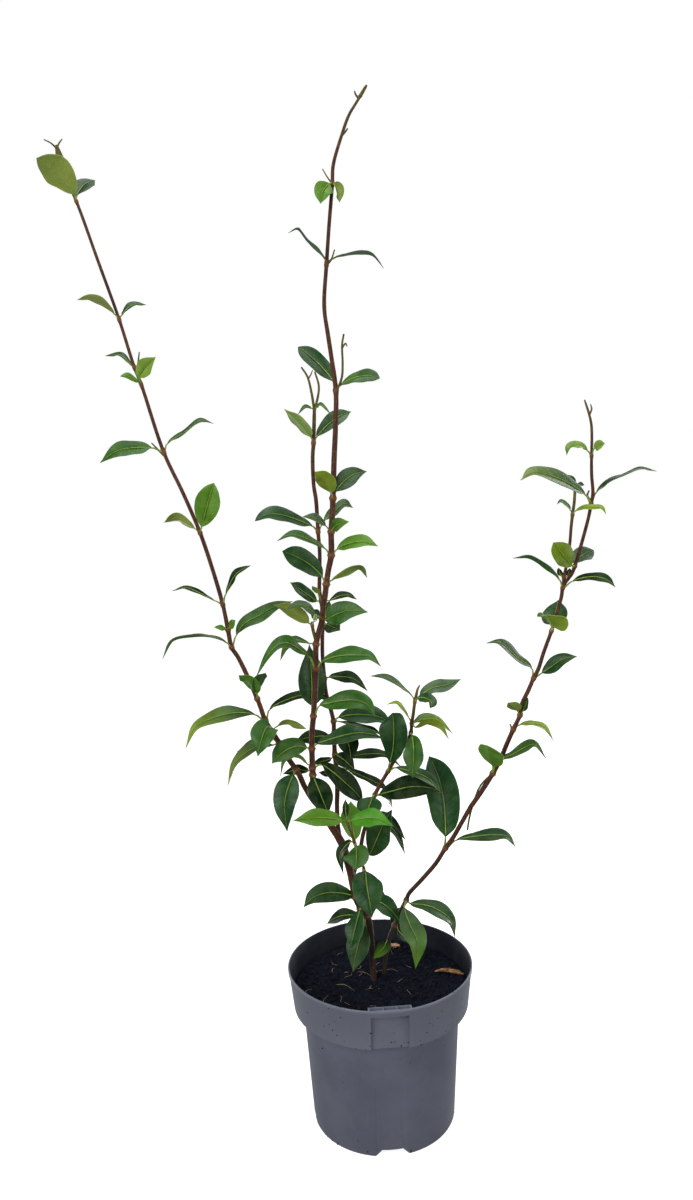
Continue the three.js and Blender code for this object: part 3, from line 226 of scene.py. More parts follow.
LEAVES = [
    ["left_pair_682", "left", 682, [
      [21, -0.95, "olive", [[-196, 686.5, 22], [-202, 697, 18], [-210.5, 705.5, 12],
       [-221, 712.5, 4]]],
      [15, 0.65, "dark", [[-194.8, 685.7, 26], [-188.9, 693.5, 36], [-180.9, 696.5, 46]]],
    ]],
    ["left_pair_601", "left", 601, [
      [12, -0.45, "olive", [[-173, 605, 22], [-181, 613, 16], [-190, 617, 10], [-199, 616, 6]]],
      [9, 0.4, "dark", [[-168, 604, 26], [-160, 611, 32], [-150, 611, 38]]],
    ]],
    ["", "left", 567, [
      [9, 0.4, "dark", [[-163, 568.9, 26], [-170.8, 576.6, 34], [-181.8, 576.6, 42]]],
    ]],
    ["left_pair_555", "left", 555.5, [
      [12, 0.95, "lime", [[-158.5, 559.8, 18], [-154.2, 566.9, 12], [-146.2, 573.9, 5]]],
      [8, 0.55, "bright", [[-158.5, 557, 20], [-165, 561, 14], [-171.5, 562, 8]]],
    ]],
    ["left_pair_507", "left", 507, [
      [16, 0.7, "mid", [[-152, 510.7, 17], [-164.4, 511.3, 12], [-176.4, 509.8, 6],
       [-189.9, 501.8, 0]]],
      [13, 0.25, "dark", [[-140.5, 513.5, 22], [-129, 520.5, 27], [-116, 529, 33],
       [-106.5, 527, 37]]],
    ]],
    ["left_pair_449", "left", 449, [
      [18.5, 0.97, "bright", [[-119.1, 452.8, 13], [-116.1, 462.8, 9], [-112.6, 473.8, 6],
       [-109.1, 483.8, 4]]],
      [13, -0.5, "olive", [[-124, 452, 18], [-135, 459.5, 23], [-146, 458, 28]]],
    ]],
    ["left_pair_396", "left", 396, [
      [11, 0.3, "vdark", [[-112.6, 399.3, 16], [-123.5, 405.6, 20], [-133, 409.6, 25],
       [-143, 407.6, 29]]],
      [11, 0.4, "vdark", [[-104, 403.7, 10], [-96.3, 417.7, 5], [-85.3, 424.2, -2]]],
    ]],
    ["", "left", 377, [
      [5, 0.8, "bright", [[-105, 378, 8], [-113.5, 379.5, 2]]],
      [6.5, 0.85, "bright", [[-102.5, 378.5, 8], [-98.2, 384, 0]]],
    ]],
    ["left_pair_364", "left", 364, [
      [17, (0.2, -0.3), "mid", [[-105, 368, 8], [-115, 373, 4], [-130, 374, -2], [-145, 371, -8],
       [-153.5, 358, -12]]],
      [17, 0.6, ("mid", "dark"), [[-97.6, 373.3, 12], [-91.6, 381.6, 15], [-79.6, 387.6, 19],
       [-67.6, 394.1, 22], [-55.6, 397.1, 24]]],
    ]],
    ["left_pair_325", "left", 325, [
      [13, -0.7, "light", [[-84.4, 329, 2], [-89.3, 338.4, -8], [-97.3, 343.9, -18]]],
      [12, -0.7, "mid", [[-84.3, 329.5, 2], [-82.4, 339.4, -7], [-77.4, 344.9, -15]]],
    ]],
    ["left_pair_308", "left", 308, [
      [18, 0.55, ("dark", "yellow"), [[-86.8, 313.5, 2], [-96.8, 315.5, -2], [-106.8, 315, -6],
       [-119.8, 311.5, -10], [-131.8, 305.5, -13], [-140.3, 290, -15]]],
      [17, 0.4, "vdark", [[-75.5, 317, 8], [-64, 323.5, 12], [-50, 327, 14], [-38, 326, 13],
       [-28.5, 321, 12]]],
    ]],
    ["left_group_291", "left", (291, 300), [
      [20, 0.9, "mid", [[-76, 304, -4], [-79, 303, -14], [-83, 294, -22], [-86.5, 281.5, -24]]],
      [13, (0.2, -0.8), "olive", [[-71.5, 303.5, 2], [-66, 306, 0], [-58, 305, -3],
       [-48.5, 301.5, -6]]],
      [12, 0.4, "mid", [[-75, 294.5, 6], [-88, 293, 12], [-101.5, 286, 18]]],
      [15, 0.45, ("dark", "olive"), [[-74, 290, 0], [-85, 289.5, -4], [-95, 285, -8],
       [-104, 276.5, -12], [-110.5, 260, -15]]],
    ]],
    ["left_leaf_270", "left", 270, [
      [20, 0.95, "dark", [[-60, 266.8, -4], [-64.7, 256.6, -10], [-67.7, 243.6, -15],
       [-66.7, 222.6, -17]]],
    ]],
    ["left_pair_171", "left", 171, [
      [18, 0.8, "dark", [[-18.7, 171.3, -5], [-27.3, 174, -9], [-39.3, 174.5, -14],
       [-49.3, 171, -19], [-56.7, 164.5, -24]]],
      [9, 0.8, "vdark", [[-9, 172.5, 6], [0, 173, 13], [7.5, 169, 18]]],
    ]],
    ["left_group_155", "left", (155, 162), [
      [15, 0.85, "dark", [[-14, 160, -9], [-17, 150, -17], [-20, 139, -22], [-22.3, 129.5, -24]]],
      [15, 0.9, "dark", [[-6, 167, 0], [2, 165.5, -2], [9, 160, -4], [18, 148, -5]]],
      [13, 0.7, "vdark", [[-15, 156, 3], [-25, 156.5, 9], [-33, 154.5, 14], [-40, 150.2, 18]]],
      [19, 0.9, ("dark", "grey"), [[-11, 147, -6], [-14.5, 138, -10], [-18, 126, -13],
       [-21.3, 110.5, -14]]],
    ]],
    ["middle_group_266", "middle", (266, 271.5), [
      [19, 0.93, "vdark", [[-44.8, 264, -6], [-41.5, 255, -13], [-38, 245, -17],
       [-34.5, 235.5, -19]]],
      [9, 0.8, "vdark", [[-48.5, 269.3, 3], [-57, 270.5, 8], [-68.3, 267.7, 12]]],
      [11, -0.35, "pale", [[-49, 274.5, 1], [-54.5, 280, 5], [-60.5, 281.5, 7], [-66.5, 277.5, 8],
       [-70.5, 266, 8]]],
      [17, 0.85, "vdark", [[-38.5, 273.5, -3], [-30, 267.5, -3], [-20, 258, 0], [-12.5, 250, 3],
       [-8, 243, 6]]],
    ]],
    ["middle_pair_286", "middle", 286, [
      [16, 0.95, "mid", [[-49, 286.8, -5], [-56, 288.5, -11], [-64, 286, -16], [-71, 281, -20],
       [-75.9, 275.9, -22]]],
      [19, 0.6, "dark", [[-42, 289.5, -5], [-30, 293.5, -9], [-15, 297, -10], [-3, 296.5, -9],
       [8, 293, -6]]],
    ]],
    ["middle_pair_310", "middle", 310.5, [
      [22, 0.95, "dark", [[-44, 318, 2], [-43.5, 330, 5], [-43.5, 345, 8], [-44, 364, 10]]],
      [17, 0.8, "mid", [[-38.5, 318.5, -6], [-30, 320.5, -10], [-20, 322, -14], [-10, 321.5, -17],
       [-2, 317.5, -19], [3.2, 309, -20]]],
    ]],
    ["middle_pair_346", "middle", 346, [
      [18, 0.45, "mid", [[-44.5, 355.5, -9], [-52, 361.5, -14], [-60, 366.5, -18], [-68, 365, -21],
       [-76, 357, -24], [-85.5, 342.5, -27]]],
      [18, 0.6, "mid", [[-36, 351, -8], [-28, 354.5, -13], [-18, 355.8, -17], [-8, 355.5, -20],
       [0, 354.5, -22], [8.3, 347, -24]]],
    ]],
    ["", "middle", 364, [
      [12, 0.45, "mid", [[-44.5, 365.2, -2], [-54.8, 368.2, 1], [-61.8, 363.2, 2],
       [-66.8, 353.2, 2]]],
    ]],
    ["stub_pair_379", "stub", 378.5, [
      [13, -0.8, "olive", [[-44, 380, -6], [-50, 385.5, -7], [-58, 391, -8], [-69, 394.5, -9]]],
      [4.5, 0.8, "bright", [[-40.5, 381, -12], [-38.3, 386.5, -21]]],
    ]],
    ["middle_pair_383", "middle", 383, [
      [12, 0.5, "grey", [[-38, 385.5, -10], [-44, 391.5, -15], [-51, 394.5, -18],
       [-60.5, 391, -21]]],
      [17, 0.93, "mid", [[-32, 382, -8], [-25, 385.5, -12], [-15, 388.5, -16], [-1, 387, -21]]],
    ]],
    ["middle_pair_408", "middle", 408, [
      [16, 0.97, "dark", [[-33, 413.5, -10], [-41, 422.4, -15], [-51, 428.9, -19],
       [-61, 433.4, -22]]],
      [12, -0.4, ("mossy", "grey"), [[-26.5, 411, -7], [-15, 416.5, -3], [-5, 419, 0],
       [0.2, 412.5, 2]]],
    ]],
    ["middle_pair_429", "middle", 429, [
      [13, 0.4, "mid", [[-30.5, 434.5, -10], [-40, 440.5, -15], [-53.5, 445.5, -20],
       [-65, 442, -24]]],
      [14, 0.65, "bright", [[-21.8, 433.3, -10], [-12.6, 437.6, -14], [-1.6, 438.6, -18],
       [8.2, 435.6, -21]]],
    ]],
    ["middle_pair_446", "middle", 446, [
      [9, 0.6, "grey", [[-29, 450.5, -11], [-36, 456.5, -14], [-45.5, 458.3, -17]]],
      [10, 0.85, ("mid", "bright"), [[-24.5, 447.8, -12], [-21.4, 451, -17], [-12.7, 453.3, -23]]],
    ]],
    ["middle_pair_470", "middle", 470, [
      [14, -0.9, "yellow", [[-24.3, 474, -14], [-27, 481, -22], [-30.5, 486, -28],
       [-36, 490.3, -32]]],
      [14, 0.93, "grey", [[-21.3, 474.7, -9], [-15.7, 481.5, -8], [-7.7, 487, -7],
       [1.8, 488.9, -6]]],
    ]],
    ["middle_pair_546", "middle", 546, [
      [14, 0.9, "dark", [[-19.7, 552.3, -5], [-27.3, 562.9, 1], [-36.3, 571.9, 6],
       [-44.3, 578.4, 10]]],
      [13, (0.3, 0.95), ("mid", "grey"), [[-15.3, 550, -12], [-6.5, 554.9, -16], [3.5, 556.4, -20],
       [13, 554.4, -24]]],
    ]],
    ["middle_pair_634", "middle", 634, [
      [13, -0.15, "grey", [[-22.3, 636.7, -13], [-27.3, 643.3, -18], [-34.3, 650.3, -22],
       [-41.3, 658.8, -26], [-48.3, 656.8, -29]]],
      [12, -0.12, "grey", [[-18, 637.5, -11], [-8, 640.5, -6], [2, 641, -1], [11, 639.5, 3],
       [19, 630.5, 6]]],
    ]],
    ["middle_pair_688", "middle", 688, [
      [13, 0.95, "bright", [[-18, 688.3, -18], [-22.5, 683.9, -22], [-25, 675.4, -24]]],
      [10, -0.65, "olive", [[-14.5, 687.5, -16], [-11, 683, -20], [-10.7, 675, -22]]],
    ]],
    ["", "inner", 533, [
      [4.5, 0.6, "mid", [[-36, 534.5, 18], [-40.5, 536, 14], [-46.5, 530.5, 10]]],
      [4.5, 0.6, "mid", [[-33, 535, 18], [-29.5, 537, 14], [-22.5, 530, 10]]],
    ]],
    ["inner_pair_510", "inner", 510, [
      [13, -0.65, "pale", [[-37.3, 514, 17], [-44.5, 524.2, 11], [-55.5, 535.2, 5]]],
      [13, 0.85, "grey", [[-33.5, 514.3, 19], [-24, 523.9, 22], [-15, 529.4, 25], [-8, 531.9, 28]]],
    ]],
    ["inner_pair_446", "inner", 446.5, [
      [17, 0.55, "dark", [[-39, 451, 12], [-48, 455.3, 8], [-60, 459.8, 3], [-71, 460.8, -2],
       [-80.5, 456.8, -6]]],
      [12, 0.6, "grey", [[-30.5, 454, 16], [-23, 460.5, 19], [-15, 466.5, 22], [-8.5, 463.5, 24]]],
    ]],
    ["inner_pair_396", "inner", 396, [
      [12, 0.75, "dark", [[-37.2, 396.1, 11], [-43.4, 400.6, 8], [-50.4, 406.1, 5],
       [-55.9, 410.6, 2]]],
      [11, 0.45, "vdark", [[-28.7, 396.2, 13], [-21.4, 399.4, 15], [-14.4, 399.9, 17],
       [-7.9, 396.9, 19]]],
      [6, -0.7, "olive", [[-36, 401, 9], [-40.5, 407.5, 3]]],
    ]],
    ["inner_pair_379", "inner", 379, [
      [13, 0.85, "dark", [[-31.5, 379, 10], [-27, 376.8, 4], [-21.7, 374.5, -2]]],
      [9, 0.9, "dark", [[-36.5, 383.5, 13], [-42, 389, 10]]],
      [8, 0.9, "mid", [[-31.5, 386, 12], [-28.5, 395.5, 8]]],
    ]],
    ["", "inner", 338, [
      [13, 0.65, "vdark", [[-31, 339.5, 18], [-22, 339.7, 18], [-12, 337.5, 17],
       [-2.2, 328.5, 15]]],
    ]],
    ["inner_group_297", "inner", (297, 306), [
      [19, 0.7, "dark", [[-25, 309, 14], [-15, 311, 12], [-3, 310.5, 10], [7, 308, 8],
       [16, 301, 6]]],
      [12, 0.3, "vdark", [[-24.5, 306, 12], [-10, 302.5, 5], [0, 299, 0], [8, 294.5, -3]]],
      [16, 0.9, "vdark", [[-25.5, 296, 12], [-20, 292.5, 6], [-17.2, 285, 2], [-16.5, 275, 0]]],
      [13, 0.8, "vdark", [[-32, 295.5, 15], [-40, 295.5, 14], [-49, 294.5, 12],
       [-57.5, 292.5, 10]]],
    ]],
    ["inner_group_281", "inner", 281, [
      [15, 0.45, "vdark", [[-25.5, 280, 16], [-14, 280, 18], [-2, 281, 19], [10, 279.5, 19],
       [21, 270.5, 18]]],
      [9, 0.6, "vdark", [[-31, 278.5, 14], [-38, 276.3, 12], [-46, 274.6, 10]]],
      [14, 0.8, "vdark", [[-27.5, 281, 11], [-22, 277, 8], [-13.5, 268.5, 4]]],
    ]],
    ["inner_pair_270", "inner", 270, [
      [13, 0.5, "vdark", [[-20.9, 269.9, 14], [-10.6, 265.1, 15], [-2.6, 261.1, 16],
       [5.4, 256.6, 16], [11.9, 252.1, 15]]],
      [7, 0.7, "vdark", [[-30.5, 268.5, 12], [-35, 266.5, 11], [-41, 268, 9]]],
    ]],
    ["front_pair_229", "front", 229, [
      [15, 0.85, "bright", [[-24.5, 230.3, -25], [-35.2, 232.7, -30], [-47.2, 233.2, -34],
       [-61.5, 231.8, -38]]],
      [15, 0.87, "vivid", [[-18.5, 230, -25], [-9, 231.5, -30], [0, 231.5, -33], [13.7, 225, -37]]],
      [5.3, 0.9, "vdark", [[-21.5, 232.5, -24], [-22, 239, -25], [-21.8, 246.5, -25]]],
    ]],
    ["front_group_212", "front", 212, [
      [17, 0.95, "light", [[-15.7, 215, -15], [-17, 226, -12], [-18.3, 236, -11],
       [-17.6, 244.5, -11]]],
      [19, 0.95, "mid", [[-15.5, 210, -24], [-15, 205, -31], [-15.5, 198, -36], [-16.5, 191, -38]]],
      [13, 0.5, "vdark", [[-18.5, 213.8, -17], [-23.5, 210.5, -16], [-27.8, 203.5, -15],
       [-26.1, 187.7, -14]]],
    ]],
    ["front_leaf_191", "front", 191, [
      [24, 0.95, "dark", [[-8.6, 190, -20], [-8, 181, -30], [-6.5, 169, -36], [-4.1, 153, -38]]],
    ]],
    ["short_leaf_203", "short", 203, [
      [20, 0.93, "dark", [[-6, 203, -6], [0, 214, -12], [5, 225, -15], [12, 237, -16]]],
    ]],
    ["short_pair_232", "short", 232, [
      [11, 0.7, "vdark", [[0, 233.5, 9], [7, 232, 11], [15, 224, 12], [22.8, 214, 12]]],
      [11, 0.6, "vdark", [[0, 230.5, 4], [8, 227, 2], [16, 218.5, 0], [22.3, 202.5, -2]]],
    ]],
    ["short_group_249", "short", 249, [
      [20, 0.93, "dark", [[-1.8, 247.5, 1], [-3.5, 243, -3], [-6.5, 236, -6], [-10, 227, -8]]],
      [19, 0.88, "vdark", [[3.5, 249.5, 4], [14, 252, 1], [26, 254.5, -1], [38, 254, -2],
       [51, 250.5, -2]]],
      [7, 0.5, "dark", [[6, 248, 9], [10.5, 246, 11], [13.5, 238, 13]]],
    ]],
    ["short_pair_267", "short", 267, [
      [21, 0.95, "dark", [[12, 273.5, -3], [14.5, 283, -9], [15.5, 295, -13], [15.5, 305, -12],
       [14.5, 312, -5]]],
      [14, 0.55, "dark", [[16.5, 269.5, 0], [26, 267, -4], [36, 263.5, -7], [45, 257, -9],
       [50.8, 249.3, -10]]],
    ]],
    ["short_group_295", "short", (295.5, 302.5), [
      [15.5, 0.93, "mid", [[29, 293.5, -14], [30, 284, -25], [29.5, 273, -28], [28, 261, -29]]],
      [10, -0.5, "yellow", [[32, 299.5, -8], [40, 303, -12], [50, 300.5, -16], [57, 289.5, -20]]],
      [8, 0.35, "yellow", [[27.3, 307, -7], [23.5, 313.5, -10], [18, 318.5, -13], [11, 318, -16]]],
      [12, 0.55, ("mid", "yellow"), [[31, 303.2, -4], [37.8, 305.7, 0], [47.8, 305.2, 4],
       [60.3, 294.2, 8]]],
    ]],
    ["short_group_318", "short", 318.5, [
      [12, (0.15, 0.5), "grey", [[29.8, 323.8, -8], [22.1, 330.6, -5], [10.8, 338.6, 0],
       [-0.4, 340, 4]]],
      [13, 0.75, "grey", [[35.5, 323, -10], [45, 329, -8], [56, 331, -6], [66.2, 335, -4]]],
      [10, 0.8, "dark", [[33.9, 321.5, -13], [39.6, 321.5, -20], [44.6, 318, -26],
       [43.6, 313.5, -30]]],
    ]],
    ["", "right", 132, [
      [11, 0.9, ("vdark", "bright"), [[6, 135, 1], [3, 129.5, -4], [-5, 121, -8]]],
    ]],
    ["", "right", 147, [
      [9, 0.8, "vdark", [[14.5, 143.5, 8], [18, 138.5, 11], [25, 134, 14]]],
    ]],
    ["right_group_166", "right", 166.5, [
      [16, 0.65, "dark", [[24.1, 164, 0], [34.6, 162.8, -5], [45.6, 158.3, -9], [55.6, 149.3, -12],
       [58.6, 135.8, -14]]],
      [18, 0.9, ("grey", "bright"), [[20, 160.5, -5], [24, 147, -14], [29.5, 133, -20],
       [27.5, 111.5, -23]]],
      [14, 0.85, "vdark", [[17.5, 161, 8], [15, 153, 15], [21.5, 135, 20]]],
    ]],
    ["right_pair_206", "right", 206, [
      [26, 0.97, "dark", [[52.3, 215, -3], [52.5, 228, 4], [51.5, 245, 9], [48, 262, 13],
       [42, 277, 15]]],
      [16, 0.5, "dark", [[60.5, 212.3, -8], [75, 215, -14], [90, 215.5, -19], [99, 214, -22],
       [105.5, 205.5, -24]]],
    ]],
    ["right_pair_262", "right", 262.5, [
      [20, -0.8, "light", [[89, 268, -20], [87.5, 276.2, -28], [85.8, 285.2, -36]]],
      [14, 0.45, "mid", [[92.5, 272, -21.5], [103, 276.5, -24], [113, 282, -26], [120.5, 284, -28],
       [129.5, 272.8, -30]]],
    ]],
    ["", "right", 295.3, [
      [10, 0.4, "yellow", [[109, 298.8, -21], [118, 299.7, -24], [127, 297, -27],
       [135.2, 285.6, -30]]],
    ]],
    ["", "right", 306, [
      [10, -0.8, "olive", [[108, 309, -23], [105, 313, -28], [100.5, 316.5, -33]]],
      [6, 0.8, "dark", [[111.3, 308.5, -22], [113.5, 313.5, -23], [115.5, 319, -25]]],
    ]],
    ["right_pair_333", "right", 333.3, [
      [14, (0.5, 0.3), ("dark", "grey"), [[118.8, 341, -22], [108, 350, -20], [96, 361.5, -17],
       [85.5, 361.7, -15]]],
      [12, 0.85, "dark", [[125.9, 337, -23], [133.4, 342, -26], [141.4, 347, -29],
       [151.9, 349, -33]]],
    ]],
    ["right_pair_368", "right", 368, [
      [20, 0.9, "dark", [[134.5, 372.5, -19], [136, 380, -12], [138.5, 391.5, -6]]],
      [22, -0.8, "yellow", [[134.3, 371.5, -29], [134.5, 376.5, -38], [131.5, 382, -47]]],
    ]],
    ["right_pair_401", "right", 399.5, [
      [13, -0.25, "mid", [[139.8, 406, -26], [129, 416, -29], [118, 423, -32],
       [105.9, 423.6, -35]]],
      [13, 0.45, ("vdark", "dark"), [[149.5, 404.5, -28], [158, 407, -32], [168, 407, -36],
       [176, 404, -39], [181, 399.5, -41]]],
    ]],
    ["", "twig", 407, [
      [5, 0.8, "vdark", [[141.5, 408, -21], [140, 411, -19], [139.5, 414.5, -17]]],
      [5, 0.8, "vdark", [[145.5, 408, -20], [146.5, 411, -18], [147, 414, -16]]],
    ]],
    ["right_pair_415", "right", 415, [
      [16, 0.9, "mossy", [[149, 415.5, -31], [145, 421, -35], [140.5, 427, -37], [136, 433, -36]]],
      [14, 0.85, "grey", [[151, 417, -22], [153.6, 421, -16], [158.6, 424.5, -11],
       [165.1, 427, -6]]],
    ]],
    ["twig_pair_452", "twig", 452.6, [
      [5.5, 0.5, "mid", [[148.3, 456, -15], [145.5, 460, -12], [141, 462.7, -9], [138, 460.5, -7]]],
      [6, 0.6, "yellow", [[151.5, 455, -21], [157, 457.5, -29], [164, 457.5, -36], [171, 457, -40],
       [174.5, 452, -42]]],
    ]],
    ["right_pair_460", "right", 460, [
      [17, (0.5, 0.45), ("grey", "olive"), [[159, 467, -32], [150, 474, -36], [135, 481.5, -42],
       [121, 484.5, -46], [112, 480, -49]]],
      [13, (-0.45, 0.45), "dark", [[167, 468.5, -27], [176, 476, -22], [187, 480.5, -17],
       [199, 484.5, -12], [211, 482.5, -6]]],
    ]],
    ["", "twig", 472, [
      [5, 0.8, "dark", [[151.5, 475, -13], [149.5, 478, -11], [147, 481.5, -10]]],
      [3.5, 0.8, "dark", [[153, 473.5, -13], [156, 474.3, -12], [158.7, 473.5, -11]]],
    ]],
    ["right_pair_494", "right", 494.3, [
      [8, 0.6, ("lime", "mid"), [[161, 498, -32], [157, 502, -34], [151, 502.5, -37],
       [147, 500.5, -40], [145.3, 495.5, -42]]],
      [8, 0.85, "lime", [[165.5, 499.5, -32], [168.5, 501.5, -36], [173, 503, -40]]],
    ]],
]

# The tones copy how each leaf looks where it grows. Beside the leaf's own green, the very dark tone is
# partly painted shade for leaves deep in the plant, the grey tone is partly a painted sheen, and the
# vivid tone is partly painted light shining through the blade
TONES = {
    "vdark": 0x05240b, "dark": 0x154418, "grey": 0x3b5837, "mid": 0x2c5c12, "mossy": 0x728f06,
    "bright": 0x588a14, "light": 0x5f9426, "vivid": 0x428807, "lime": 0x7ea23a, "yellow": 0x8aa422,
    "olive": 0x82943a, "pale": 0x8aa450,
}
print(len(CANES), "canes,", len(LEAVES), "leaf rows,", sum(len(row[3]) for row in LEAVES), "leaves")

# %% Places and smooth lines
def place(point):
    """A row's point in metres, moved along its line of sight to its depth"""
    x, z, depth = (value * MM for value in point)
    seen = np.array([x, 0, z])
    return FRONT_POINT + (seen - FRONT_POINT) * (1 - depth / FRONT_POINT[1])


def both(value):
    """A pair as it is, and a single value twice"""
    return value if isinstance(value, tuple) else (value, value)


def between(rows, at):
    """A value read off a list of place, value rows"""
    return float(np.interp(at, [row[0] for row in rows], [row[1] for row in rows]))


def on_route(route, height):
    """The point of a cane's route at a height"""
    high = next((i for i, point in enumerate(route) if point[1] >= height), len(route) - 1)
    low, high = np.array(route[max(high, 1) - 1], float), np.array(route[max(high, 1)], float)
    return low + (high - low) * (height - low[1]) / (high[1] - low[1])


def smooth_line(points):
    """A smooth curve through points, as a function of the share of the way along them"""
    points = np.asarray(points, float)
    knots = np.vstack([2 * points[0] - points[1], points, 2 * points[-1] - points[-2]])
    steps = np.linalg.norm(np.diff(knots, axis=0), axis=1) ** 0.5

    def at(share):
        along = np.clip(np.atleast_1d(share), 0, 1) * (len(points) - 1)
        first = np.minimum(along.astype(int), len(points) - 2)
        t = (along - first)[:, None]
        p0, p1, p2, p3 = (knots[first + i] for i in range(4))
        d0, d1, d2 = (steps[first + i][:, None] for i in range(3))
        leave = ((p1 - p0) / d0 - (p2 - p0) / (d0 + d1) + (p2 - p1) / d1) * d1
        reach = ((p2 - p1) / d1 - (p3 - p1) / (d1 + d2) + (p3 - p2) / d2) * d1
        bend = 3 * (p2 - p1) - 2 * leave - reach
        return p1 + leave * t + bend * t**2 + (2 * (p1 - p2) + leave + reach) * t**3

    return at


print("the left cane's top is at", [round(v, 3) for v in place(CANES["left"]["route"][-1])])

# %% [markdown]
# ## Finishes
#
# Each finish is worked out from noise, from a piece's own place or from values stored on its
# points. Nodes can be wired one by one, but sums are easier to read as sums. So one small class
# stands for a value in the material, and adding or multiplying two such values adds the Math node
# for it. Any other node comes from one method.

# %% A finish and its values
class Value:
    """One output of a material's nodes"""

    def __init__(self, finish, socket):
        self.finish = finish
        self.socket = socket

    def sum(self, operation, first, second):
        return self.finish.node("ShaderNodeMath", {"operation": operation}, {0: first, 1: second})

    def __add__(self, other):
        return self.sum("ADD", self, other)

    def __radd__(self, other):
        return self.sum("ADD", other, self)

    def __sub__(self, other):
        return self.sum("SUBTRACT", self, other)

    def __rsub__(self, other):
        return self.sum("SUBTRACT", other, self)

    def __mul__(self, other):
        return self.sum("MULTIPLY", self, other)

    def __rmul__(self, other):
        return self.sum("MULTIPLY", other, self)


class Finish:
    """A material under construction"""

    def __init__(self, name):
        self.material = bpy.data.materials.new(name)
        self.material.use_nodes = True
        self.tree = self.material.node_tree
        self.tree.nodes.clear()

    def node(self, kind, settings=None, inputs=None, output=0):
        """Adds a node: its settings first, then the values of its sockets or what is linked to them"""
        made = self.tree.nodes.new(kind)
        for name, setting in (settings or {}).items():
            setattr(made, name, setting)
        for name, value in (inputs or {}).items():
            if isinstance(value, Value):
                self.tree.links.new(value.socket, made.inputs[name])
            else:
                made.inputs[name].default_value = value
        return Value(self, made.outputs[output]) if made.outputs else None

    def place(self, scale=(1, 1, 1)):
        """The point's place on the piece, stretched"""
        spot = self.node("ShaderNodeTexCoord", output="Object")
        return self.node("ShaderNodeMapping", {}, {"Vector": spot, "Scale": scale})

    def height(self):
        """How high the point lies on the piece, in metres"""
        return self.node("ShaderNodeSeparateXYZ", {}, {0: self.place()}, "Z")

    def noise(self, spot, scale, detail, rough=0.55):
        """A cloudy value, with a number of ever finer layers"""
        sizes = {"Vector": spot, "Scale": scale, "Detail": detail, "Roughness": rough}
        return self.node("ShaderNodeTexNoise", {}, sizes)

    def ease(self, value, low, high, to_low=0.0, to_high=1.0):
        """Turns low..high into to_low..to_high, with soft ends"""
        sockets = {"Value": value, "From Min": low, "From Max": high, "To Min": to_low, "To Max": to_high}
        return self.node("ShaderNodeMapRange", {"interpolation_type": "SMOOTHSTEP"}, sockets)

    def stored(self, name, output="Color"):
        """A value stored on the points of the piece"""
        return self.node("ShaderNodeAttribute", {"attribute_name": name}, {}, output)

    def mix(self, share, first, second, how="MIX"):
        """A share of the way from the first color to the second"""
        settings = {"data_type": "RGBA", "blend_type": how, "clamp_result": True}
        return self.node("ShaderNodeMix", settings, {0: share, 6: first, 7: second}, 2)

    def bump(self, height, strength, distance):
        """A surface that seems raised by a height"""
        sockets = {"Height": height, "Strength": strength, "Distance": distance}
        return self.node("ShaderNodeBump", {}, sockets)

    def shine(self, **sockets):
        """Closes the finish with its surface"""
        names = {name.replace("_", " "): value for name, value in sockets.items()}
        surface = self.node("ShaderNodeBsdfPrincipled", {}, names)
        self.node("ShaderNodeOutputMaterial", {}, {"Surface": surface})
        print("finish", self.material.name, "has", len(self.tree.nodes), "nodes")
        return self.material


def paint(code):
    """A color from its screen code, such as 0x5a9632, as the renderer wants it"""
    parts = [(code >> shift & 255) / 255 for shift in (16, 8, 0)]
    return (*[part / 12.92 if part < 0.04045 else ((part + 0.055) / 1.055) ** 2.4 for part in parts], 1)


print("slate grey is", [round(part, 3) for part in paint(0x555862)])

# %% [markdown]
# ## Leaf finishes
#
# The upper face of a leaf is waxy: dark green with a soft sheen, a thin pale midrib, faint side
# veins that curve towards the tip and slow cloudy changes of tone. The darkest leaves, deep in the
# plant, take a shaded copy of the face finish that shines less and has darker veins: painted shade.
# The underside is duller and paler, and its veins stand proud. The pattern must follow each leaf,
# however it is bent, so it reads the leaf's own map: how far along, how far across. The tone
# differs from leaf to leaf and partly holds painted light and shade, so it is stored on the points.

# %% Leaf finishes
VEINS = 11
LIT_GREEN = (0.55, 0.72, 0.35, 1)
PALE_GREEN = (0.46, 0.62, 0.30, 1)


